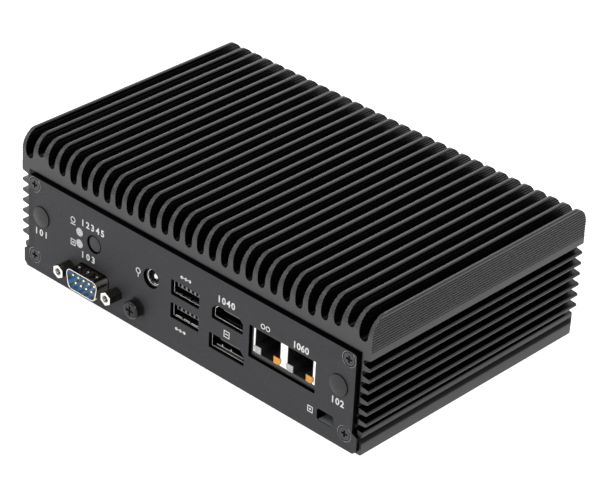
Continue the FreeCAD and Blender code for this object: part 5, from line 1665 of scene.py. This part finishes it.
@dataclass
class DataSockets:
    """The two stacked data sockets' springs, spring ends and tongues; in millimetres."""

    middle: float = 0.6
    heights: Point = (25.9, 16.45)
    face: float = SOCKET_FACE
    height: float = 5.3
    metal: float = 0.3
    spring_count: int = 3
    spring_pitch: float = 3.9
    spring_width: float = 3.1
    spring_metal: float = 0.12
    spring_start: float = 0.25
    spring_reach: float = 2.6
    spring_lift: float = 0.1
    spring_rise: float = 0.25
    spring_rows: tuple[float, ...] = (0.0, 0.12, 0.25, 0.4, 0.5, 0.6, 0.75, 0.88, 1.0)
    strip: Point = (0.15, 0.45)
    strip_depth: Point = (0.2, 0.3)
    tongue: Place = (10.8, 1.9, 1.7)
    tongue_back: float = 0.75
    tongue_rise: float = 0.9
    wells: int = 5
    well: Point = (1.2, 1.2)
    well_depth: Point = (-0.03, 0.1)
    well_rise: float = 0.3
    well_pitch: float = 2.1

    def tongue_nose(self, computer: Assembly, name: str, z: float) -> None:
        """Nose of a tongue, with a row of dark blocks as painted shade for its contact wells.

        Args:
            computer: the assembly.
            name: which socket it is in.
            z: height of the tongue's middle.
        """
        width, length, height = self.tongue
        front = self.face + self.tongue_back
        nose = Sketch().block(across(self.middle, width), (front, front + length), across(z, height))
        computer.settle(nose.piece("data_tongue_nose_" + name, Finishes.TONGUE, Easing(0.1 * MM, 1)),
                        "data_socket_insert")
        left = self.middle - self.well_pitch * (self.wells - 1) / 2
        foot = z - height / 2 + self.well_rise
        # painted shade: dark blocks on the nose where the contact wells are
        well = Sketch().block(across(left, self.well[0]), moved(self.well_depth, front),
                              (foot, foot + self.well[1]))
        row = Row(self.wells, (self.well_pitch, 0.0, 0.0))
        wells = row.lay("data_wells_" + name, well.mesh("well"), Finishes.HOLLOW)
        computer.settle(wells, "data_socket_insert")

    def spring(self, floor: float, x: Point) -> Sketch:
        """One contact spring that bows up from a socket's floor.

        Args:
            floor: height of the floor.
            x: the spring's two sides.

        Returns:
            The sketch with it.
        """
        path = [(self.face + self.spring_start + self.spring_reach * share,
                 floor + self.spring_lift + self.spring_rise * math.sin(math.pi * share))
                for share in self.spring_rows]
        return Sketch().leaf(path, x, self.spring_metal)

    def build(self, computer: Assembly) -> None:
        """Dress both sockets.

        Args:
            computer: the assembly.
        """
        row = Row(self.spring_count, (self.spring_pitch, 0.0, 0.0))
        sides = across(self.middle - self.spring_pitch, self.spring_width)
        # painted shade: the upper springs are a darkened copy of the lower ones' metal
        finishes = (Finishes.DARK_NICKEL, Finishes.SHIELD)
        for name, z, finish in zip(("upper", "lower"), self.heights, finishes):
            floor = z - self.height / 2 + self.metal
            first = self.spring(floor, sides)
            springs = row.lay("data_springs_" + name, first.mesh("spring"), finish)
            computer.settle(springs, "data_socket_shell")
            self.tongue_nose(computer, name, z + self.tongue_rise)
            lip = Sketch().block(sides, moved(self.strip_depth, self.face), moved(self.strip, floor))
            ends = row.lay("data_spring_ends_" + name, lip.mesh("lip"), finish)
            computer.settle(ends, "data_socket_shell")
        computer.ease("data_socket_shell", Finishes.SOCKET, Easing(0.07 * MM, 2))
        computer.ease("data_socket_insert", Finishes.TONGUE, Easing(0.06 * MM, 1))


@dataclass(frozen=True)
class VideoMouth:
    """One video socket: its name, middle height and opening, in millimetres."""

    name: str
    z: float
    width: float
    height: float
    spring_finish: Finishes
    barred: bool = False


@dataclass
class VideoSockets:
    """The two video sockets' springs and contacts; in millimetres."""

    middle: float = 21.4
    face: float = SOCKET_FACE
    metal: float = 0.3
    mouths: tuple[VideoMouth, ...] = (
        # painted shade: the upper mouth's springs are darkened nickel
        VideoMouth("upper", 25.6, 14.2, 5.2, Finishes.DARK_NICKEL),
        VideoMouth("lower", 13.2, 16.2, 5.3, Finishes.SHIELD, barred=True))
    spring_inset: float = 1.6
    spring_metal: float = 0.1
    spring_path: tuple[Point, ...] = ((0.15, 0.05), (0.7, 0.22), (1.5, 0.3), (2.6, 0.05))
    bar_depth: Point = (0.9, 1.05)
    bar_height: Point = (0.5, 0.72)
    post_height: Point = (0.7, 1.5)
    post_width: float = 0.35
    post_shares: Point = (-0.6, 0.05)
    contacts: int = 9
    contact_margin: float = 6.4
    contact_share: float = 0.6
    contact_depth: Point = (2.3, 6.0)
    contact_height: Point = (0.52, 0.82)

    def springs(self, mouth: VideoMouth) -> Sketch:
        """Bowed spring on a socket's floor, with a bar and two posts where it has them.

        Args:
            mouth: the socket.

        Returns:
            The sketch with them.
        """
        floor = mouth.z - mouth.height / 2 + self.metal
        half = mouth.width / 2 - self.spring_inset
        sides = (self.middle - half, self.middle + half)
        path = [(self.face + along, floor + rise) for along, rise in self.spring_path]
        sketch = Sketch().leaf(path, sides, self.spring_metal)
        if mouth.barred:
            depth = moved(self.bar_depth, self.face)
            sketch.block(sides, depth, moved(self.bar_height, floor))
            for share in self.post_shares:
                left = self.middle + half * share
                sketch.block((left, left + self.post_width), depth, moved(self.post_height, floor))
        return sketch

    def build(self, computer: Assembly) -> None:
        """Dress both sockets.

        Args:
            computer: the assembly.
        """
        for mouth in self.mouths:
            shell = f"video_socket_{mouth.name}_shell"
            tongue = f"video_socket_{mouth.name}_tongue"
            springs = self.springs(mouth).piece("video_springs_" + mouth.name, mouth.spring_finish)
            computer.settle(springs, shell)
            step = (mouth.width - self.contact_margin) / (self.contacts - 1)
            first = self.middle - step * (self.contacts - 1) / 2
            blade = Sketch().block(across(first, step * self.contact_share),
                                   moved(self.contact_depth, self.face), moved(self.contact_height, mouth.z))
            row = Row(self.contacts, (step, 0.0, 0.0))
            contacts = row.lay("video_contacts_" + mouth.name, blade.mesh("contact"), Finishes.COPPER)
            computer.settle(contacts, tongue)
            computer.ease(shell, Finishes.SOCKET, Easing(0.07 * MM, 2))
            computer.paint(Finishes.TONGUE, tongue)


@dataclass
class NetworkSockets:
    """The double network socket's sheet of painted shade, lens caps and spring fingers; in millimetres."""

    middle: float = 47.6
    face: float = SOCKET_FACE
    top: float = 28.0
    height: float = 12.1
    width: float = 30.4
    pitch: float = 15.2
    port: float = 11.5
    port_top: float = 27.28
    knee: float = 20.7
    latch: float = 5.6
    trim: float = 0.2
    cheeks: Point = (0.75, 0.65)
    sill: float = 17.8
    skin: Point = (-0.05, 0.01)
    lens: Point = (3.2, 2.7)
    lens_gap: Point = (0.25, 0.1)
    lens_depth: Point = (-0.4, -0.04)
    lens_bevel: float = 0.9
    lens_nick: Point = (0.3, 0.2)
    fingers: int = 8
    finger_share: Point = (0.1, 0.9)
    finger_metal: float = 0.08
    finger_path: tuple[Point, ...] = ((-0.02, 0.5), (-0.25, 0.42), (-0.1, 0.3))

    def shade_sheet(self) -> Sketch:
        """Dark sheet round the ports, painted shade and dark reflection over the shield, which leaves its
        upright strips uncovered.

        Returns:
            The sketch with it.
        """
        left, right = across(self.middle, self.width)
        foot = self.top - self.height
        depth = moved(self.skin, self.face)
        sketch = Sketch().block((left, right), depth, (self.port_top, self.top))
        sketch.block((left, right), depth, (foot, self.sill))
        sketch.block((left, left + self.cheeks[0]), depth, (self.sill, self.port_top))
        sketch.block((right - self.cheeks[1], right), depth, (self.sill, self.port_top))
        for port in across(self.middle, self.pitch):
            for side in (-1, 1):
                near, far = port + side * self.latch / 2, port + side * self.port / 2
                sketch.block((min(near, far), max(near, far)), depth, (self.sill, self.knee))
                beyond = far + side * self.trim
                sketch.block((min(far, beyond), max(far, beyond)), depth, (self.knee, self.port_top))
        return sketch

    def lenses(self, side: int) -> Sketch:
        """Caps of the lamps at one lower corner of both ports.

        Args:
            side: -1 for the left corner and 1 for the right one.

        Returns:
            The sketch with both caps.
        """
        sketch = Sketch()
        foot = self.sill + self.lens_gap[1]
        top = foot + self.lens[1]
        for port in across(self.middle, self.pitch):
            inner = port + side * (self.latch / 2 + self.lens_gap[0])
            outer = inner + side * self.lens[0]
            outline = [(inner, top), (inner, foot + self.lens_nick[1]),
                       (inner + side * self.lens_nick[0], foot), (outer - side * self.lens_bevel, foot),
                       (outer, foot + self.lens_bevel), (outer, top)]
            sketch.prism(outline if side < 0 else outline[::-1], *moved(self.lens_depth, self.face))
        return sketch

    def build(self, computer: Assembly) -> None:
        """Dress the block.

        Args:
            computer: the assembly.
        """
        # painted shade and dark reflection: a dark sheet over the shield's top, bottom and port edges
        computer.settle(self.shade_sheet().piece("network_black_face", Finishes.BLACK), "network_housing")
        for name, side, finish in (("clear", -1, Finishes.WINDOW), ("amber", 1, Finishes.AMBER)):
            caps = self.lenses(side).piece("network_lens_" + name, finish, Easing(0.12 * MM, 2))
            computer.settle(caps, "network_lamps_" + name)
        foot = self.top - self.height
        step = self.width / self.fingers
        left = self.middle - self.width / 2
        path = [(self.face + along, foot + rise) for along, rise in self.finger_path]
        sides = tuple(left + step * share for share in self.finger_share)
        first = Sketch().leaf(path, sides, self.finger_metal)
        row = Row(self.fingers, (step, 0.0, 0.0))
        # painted shade: the fingers are darkened nickel
        fingers = row.lay("network_fingers", first.mesh("finger"), Finishes.DARK_NICKEL)
        computer.settle(fingers, "network_shield")
        computer.ease("network_shield", Finishes.SHIELD, Easing(0.08 * MM, 2))


@dataclass
class PowerInlet:
    """The round power inlet's lip and contact spring; in millimetres."""

    middle: Point = (-16.4, 24.4)
    face: float = SOCKET_FACE
    bore: float = 3.13
    lip_depth: float = 0.32
    lip_inset: float = 0.14
    lip_wire: float = 0.16
    lip_sides: int = 48
    spring_width: float = 1.6
    spring_metal: float = 0.2
    spring_path: tuple[Point, ...] = ((0.9, 0.35), (2.2, 0.8), (3.4, 1.1), (6.5, 0.4))

    def build(self, computer: Assembly) -> None:
        """Dress the inlet.

        Args:
            computer: the assembly.
        """
        lip = Sketch().torus(self.middle, self.face + self.lip_depth, self.bore - self.lip_inset,
                             self.lip_wire, self.lip_sides)
        computer.settle(lip.piece("inlet_lip", Finishes.NICKEL), "power_jack_sleeve")
        floor = self.middle[1] - self.bore
        path = [(self.face + along, floor + rise) for along, rise in self.spring_path]
        spring = Sketch().leaf(path, across(self.middle[0], self.spring_width), self.spring_metal)
        computer.settle(spring.piece("inlet_spring", Finishes.NICKEL), "power_jack_sleeve")
        computer.ease("power_jack_body", Finishes.BLACK, Easing(0.12 * MM, 2))
        computer.ease("power_jack_pin", Finishes.NICKEL, Easing(0.08 * MM, 2))


@dataclass(frozen=True)
class Glyph:
    """Strokes of a printed shape about its middle, in millimetres.

    A ring or dot is its X, Z and radius, a bar its span in X and in Z, and a
    frame half its width and half its height.
    """

    rings: tuple[Place, ...] = ()
    frames: tuple[Point, ...] = ()
    bars: tuple[tuple[Point, Point], ...] = ()
    dots: tuple[Place, ...] = ()


class Mark(Enum):
    """The plain printed shapes that tell the fittings apart."""

    RING_LINE = Glyph(rings=((0.0, 0.5, 1.2),), bars=(((-0.18, 0.18), (-2.1, -0.7)),))
    FRAME = Glyph(frames=((1.25, 1.3),), dots=((0.0, 0.0, 0.42),))
    DOTS = Glyph(bars=(((-2.0, 2.0), (-0.16, 0.16)),),
                 dots=((-2.0, 0.0, 0.62), (0.0, 0.0, 0.62), (2.0, 0.0, 0.62)))
    PAIR = Glyph(rings=((-1.15, 0.0, 1.05), (1.15, 0.0, 1.05)))
    PLATE = Glyph(frames=((1.4, 1.4),), bars=(((-0.7, 0.7), (-0.2, 0.2)),))
    BAR_RING = Glyph(rings=((0.0, 0.3, 1.25),), bars=(((-1.25, 1.25), (-1.7, -1.3)),))


@dataclass
class Marks:
    """Plain printed shapes and numbers on the front plate; in millimetres."""

    face: float = PANEL_FACE
    coat: float = 0.03
    bed: float = 0.01
    line: float = 0.36
    ring_sides: int = 28
    dot_sides: int = 20
    digit: float = 2.7
    digit_em: float = 1.36
    stroke: float = 0.1
    weld: float = 0.0002
    numbers: tuple[tuple[str, float, float, float], ...] = (
        ("101", -74.0, 17.6, 5.4), ("102", 74.0, 17.6, 5.4), ("12345", -46.4, 31.6, 11.2),
        ("103", -48.75, 18.4, 6.3), ("1040", 20.9, 31.8, 7.8), ("1060", 56.3, 30.5, 6.9))
    shapes: tuple[tuple[Mark, float, float], ...] = (
        (Mark.BAR_RING, -57.0, 30.4), (Mark.FRAME, -56.9, 21.3), (Mark.RING_LINE, -22.95, 24.3),
        (Mark.DOTS, 0.8, 32.0), (Mark.DOTS, -1.2, 9.8), (Mark.PLATE, 21.35, 19.1), (Mark.PAIR, 39.4, 30.5),
        (Mark.FRAME, 61.7, 8.5))

    def depth(self) -> Point:
        """Y of a mark's back and front."""
        return self.face + self.bed, self.face - self.coat

    def bar(self, sketch: Sketch, x: Point, z: Point) -> None:
        """Add a printed bar."""
        sketch.block(x, self.depth(), z)

    def ring(self, sketch: Sketch, x: float, z: float, radius: float) -> None:
        """Add a printed ring.

        Args:
            sketch: what it is added to.
            x: its middle.
            z: its middle.
            radius: its outer radius.
        """
        inner = radius - self.line
        angles = circle(self.ring_sides)
        for a, b in zip(angles, angles[1:] + angles[:1]):
            corners = ((inner, a), (radius, a), (radius, b), (inner, b))
            sketch.prism([(x + reach * math.cos(turn), z + reach * math.sin(turn))
                          for reach, turn in corners], *self.depth())

    def frame(self, sketch: Sketch, x: float, z: float, half: Point) -> None:
        """Add a printed rectangle outline.

        Args:
            sketch: what it is added to.
            x: its middle.
            z: its middle.
            half: half its width and half its height.
        """
        left, right = x - half[0], x + half[0]
        low, high = z - half[1], z + half[1]
        upright = (low + self.line, high - self.line)
        self.bar(sketch, (left, right), (high - self.line, high))
        self.bar(sketch, (left, right), (low, low + self.line))
        self.bar(sketch, (left, left + self.line), upright)
        self.bar(sketch, (right - self.line, right), upright)

    def dot(self, sketch: Sketch, x: float, z: float, radius: float) -> None:
        """Add a printed dot."""
        sketch.prism([(x + radius * math.cos(turn), z + radius * math.sin(turn))
                      for turn in circle(self.dot_sides)], *self.depth())

    def shape(self, sketch: Sketch, glyph: Glyph, x: float, z: float) -> None:
        """Add one plain shape.

        Args:
            sketch: what it is added to.
            glyph: its strokes.
            x: its middle.
            z: its middle.
        """
        for dx, dz, radius in glyph.rings:
            self.ring(sketch, x + dx, z + dz, radius)
        for half in glyph.frames:
            self.frame(sketch, x, z, half)
        for span_x, span_z in glyph.bars:
            self.bar(sketch, moved(span_x, x), moved(span_z, z))
        for dx, dz, radius in glyph.dots:
            self.dot(sketch, x + dx, z + dz, radius)

    def number(self, text: str, x: float, z: float, width: float) -> bpy.types.Mesh:
        """A printed number as a mesh in its place.

        Args:
            text: the number.
            x: its middle.
            z: its middle.
            width: what its digits are spaced out to.

        Returns:
            The mesh.
        """
        curve = bpy.data.curves.new("number_" + text, "FONT")
        curve.body = text
        curve.size = self.digit * self.digit_em * MM
        curve.extrude = self.coat / 2 * MM
        curve.offset = self.stroke * MM
        curve.resolution_u = 3
        holder = placed("number_" + text, curve)
        bpy.context.view_layer.update()
        plain = holder.dimensions.x
        curve.space_character = 1.0 + (width * MM - plain) / plain * len(text) / max(1, len(text) - 1)
        mesh = plain_mesh(holder)
        bpy.data.objects.remove(holder)
        spans = [[getattr(corner.co, axis) for corner in mesh.vertices] for axis in "xy"]
        middle = [(min(span) + max(span)) / 2 for span in spans]
        place = Vector((x, self.face - self.coat / 2, z)) * MM
        mesh.transform(Matrix.Translation(place) @ Matrix.Rotation(math.pi / 2, 4, "X")
                       @ Matrix.Translation((-middle[0], -middle[1], 0.0)))
        return mesh

    def build(self, computer: Assembly) -> None:
        """Print the shapes and numbers.

        Args:
            computer: the assembly.
        """
        sketch = Sketch()
        for mark, x, z in self.shapes:
            self.shape(sketch, mark.value, x, z)
        for text, x, z, width in self.numbers:
            sketch.work.from_mesh(self.number(text, x, z, width))
        bmesh.ops.remove_doubles(sketch.work, verts=sketch.work.verts, dist=self.weld * MM)
        computer.settle(sketch.piece("panel_marks", Finishes.INK), "front_panel")


@dataclass
class PowerButton:
    """The sprung push-button's cap with its moulded ring, and a ring of painted shade in the gap round it; in
    millimetres.
    """

    axis: Point = (-45.9, 25.1)
    face: float = -57.1
    sides: int = 48
    ring_radius: float = 2.75
    ring_wire: float = 0.07
    ring_sunk: float = 0.6
    # painted shade: place, radius and wire of the dark ring in the gap round the button
    gap_shade_face: float = -57.4
    gap_shade_radius: float = 3.5
    gap_shade_wire: float = 0.22

    def build(self, computer: Assembly) -> None:
        """Ease the cap, lay a ring on it and lay a ring of painted shade round it.

        Args:
            computer: the assembly.
        """
        computer.ease("power_button", Finishes.KEY, Easing(0.1 * MM, 2))
        ring = Sketch().torus(self.axis, self.face + self.ring_wire * self.ring_sunk, self.ring_radius,
                              self.ring_wire, self.sides)
        computer.settle(ring.piece("button_ring", Finishes.KEY), "power_button")
        # painted shade: a dark ring in the gap between the button and the plate
        gap_shade = Sketch().torus(self.axis, self.gap_shade_face, self.gap_shade_radius, self.gap_shade_wire, self.sides)
        computer.settle(gap_shade.piece("button_collar", Finishes.HOLLOW), "front_panel")


@dataclass
class EarthScrew:
    """The pan-head screw that an earth wire goes under."""

    def build(self, computer: Assembly) -> None:
        """Ease the screw and both washers.

        Args:
            computer: the assembly.
        """
        computer.ease("ground_screw", Finishes.GLOSSY, Easing(0.16 * MM, 3))
        computer.ease("ground_lock_washer", Finishes.WASHER, Easing(0.08 * MM, 1))
        computer.ease("ground_washer", Finishes.WASHER, Easing(0.08 * MM, 1))


# Nodes that keep their own mesh and get a finish alone.
PLAIN_FINISHES = {
    Finishes.PANEL: ("rear_panel",),
    Finishes.COVER: ("bottom_cover",),
    Finishes.OXIDE: ("rear_panel_screws", "bottom_cover_screws"),
    Finishes.ZINC: ("mounting_nuts", "ground_nut", "board_standoffs", "board_screws", "heat_block_screws",
                    "storage_post"),
    Finishes.BLACK: ("power_switch", "indicator_holder", "serial_plug", "serial_header",
                     "video_socket_carrier", "network_housing", "memory_socket",
                     "storage_socket", "coin_cell_holder"),
    Finishes.CLEAR: ("indicator_light_pipes", "network_lamps_clear"),
    Finishes.AMBER: ("network_lamps_amber",),
    Finishes.NICKEL: ("power_jack_sleeve", "coin_cell"),
    Finishes.GOLD: ("data_socket_contacts", "network_contacts"),
    Finishes.BOARD: ("mainboard", "memory_module", "storage_module"),
    Finishes.CHIP: ("processor", "network_chips", "power_coils"),
    Finishes.PAD: ("thermal_pad",),
    Finishes.MILLED: ("heat_block", "power_capacitors"),
    Finishes.RIBBON: ("serial_ribbon",),
}


# --------------------------------------------------------------------- studio
@dataclass
class Lamp:
    """A soft square lamp: where it hangs, its size, its power and its tint."""

    name: str
    place: Place
    size: float
    power: float
    tint: Colour = (1.0, 1.0, 1.0)

    def hang(self, aim: Vector) -> None:
        """Hang the lamp.

        Args:
            aim: the point that it faces.
        """
        light = bpy.data.lights.new(self.name, "AREA")
        light.shape = "SQUARE"
        light.size = self.size
        light.energy = self.power
        light.color = self.tint
        holder = placed(self.name, light)
        holder.location = Vector(self.place)
        holder.rotation_euler = (aim - holder.location).to_track_quat("-Z", "Y").to_euler()


@dataclass
class Studio:
    """Pale floor, soft lamps and the camera."""

    floor_half: float = 4.0
    floor_gap: float = 0.0001
    floor_colour: Colour = (0.8, 0.8, 0.8)
    floor_glow: float = 0.8
    floor_roughness: float = 0.9
    ambient: float = 0.55
    aim: Place = (0.0, 0.0, 0.02)
    lens: float = 165.74
    eye: Place = (0.57352, -0.63637, 0.53865)
    right: Place = (0.72382, 0.68842, 0.04649)
    down: Place = (0.38598, -0.34813, -0.8543)
    forward: Place = (-0.57193, 0.6363, -0.5177)
    lamps: tuple[Lamp, ...] = (
        Lamp("key_lamp", (0.75, -0.35, 0.95), 0.5, 5.0),
        Lamp("front_lamp", (0.25, -1.1, 0.3), 0.5, 1.6),
        Lamp("fill_lamp", (-0.7, -0.7, 0.8), 0.7, 2.5),
        Lamp("back_lamp", (-0.35, 0.8, 0.9), 0.6, 3.0),
        Lamp("side_lamp", (-0.95, 0.65, 0.35), 0.5, 1.4),
    )

    def seen(self, graph: Graph) -> Signal:
        """1 for rays that show the background as it is: camera, glossy and transmission.

        Args:
            graph: the tree that needs the mask.

        Returns:
            The mask.
        """
        path = graph.add("ShaderNodeLightPath").outputs
        rays = [Signal(graph, path[f"Is {kind} Ray"]) for kind in ("Camera", "Glossy", "Transmission")]
        return rays[0].math("MAXIMUM", rays[1]).math("MAXIMUM", rays[2])

    def floor(self) -> bpy.types.Object:
        """The pale floor, which glows for the camera and keeps shadows.

        Returns:
            The floor.
        """
        material = bpy.data.materials.new("pale_floor")
        material.use_nodes = True
        graph = Graph(material.node_tree)
        surface = material.node_tree.nodes["Principled BSDF"]
        graph.feed(surface.inputs["Base Color"], (*self.floor_colour, 1.0))
        graph.feed(surface.inputs["Roughness"], self.floor_roughness)
        graph.feed(surface.inputs["Emission Color"], (1.0, 1.0, 1.0, 1.0))
        graph.feed(surface.inputs["Emission Strength"], self.seen(graph) * self.floor_glow)
        half = self.floor_half
        level = -self.floor_gap
        corners = [(-half, -half, level), (half, -half, level), (half, half, level), (-half, half, level)]
        mesh = bpy.data.meshes.new("floor")
        mesh.from_pydata(corners, [], [(0, 1, 2, 3)])
        mesh.materials.append(material)
        return placed("floor", mesh)

    def world(self) -> None:
        """Even light from all round over a white background."""
        world = bpy.data.worlds.new("studio_world")
        world.use_nodes = True
        bpy.context.scene.world = world
        graph = Graph(world.node_tree)
        background = world.node_tree.nodes["Background"]
        graph.feed(background.inputs["Color"], (1.0, 1.0, 1.0, 1.0))
        graph.feed(background.inputs["Strength"], self.seen(graph).span(self.ambient, 1.0))

    def camera(self) -> None:
        """Place the camera."""
        lens = bpy.data.cameras.new("camera")
        lens.lens = self.lens
        holder = placed("camera", lens)
        axes = (self.right, tuple(-part for part in self.down), tuple(-part for part in self.forward))
        turn = Matrix([[axis[row] for axis in axes] for row in range(3)]).to_4x4()
        holder.matrix_world = Matrix.Translation(Vector(self.eye)) @ turn
        bpy.context.scene.camera = holder

    def build(self) -> None:
        """Set up the floor, the lamps, the world and the camera."""
        bpy.context.scene.view_settings.view_transform = "Standard"
        self.floor()
        self.world()
        for lamp in self.lamps:
            lamp.hang(Vector(self.aim))
        self.camera()


def main() -> None:
    """Dress the computer and set up the studio."""
    logging.basicConfig(level=logging.INFO, format="%(name)s: %(message)s")
    computer = Assembly(frame)
    for part in (CoolingExtrusion(), SocketPanel(), AntennaPlugs(), PowerButton(), EarthScrew(),
                 SerialSocket(), PowerInlet(), DataSockets(), VideoSockets(), NetworkSockets(), Marks()):
        part.build(computer)
    for finish, nodes in PLAIN_FINISHES.items():
        computer.paint(finish, *nodes)
    Studio().build()


if __name__ == "__main__":
    main()
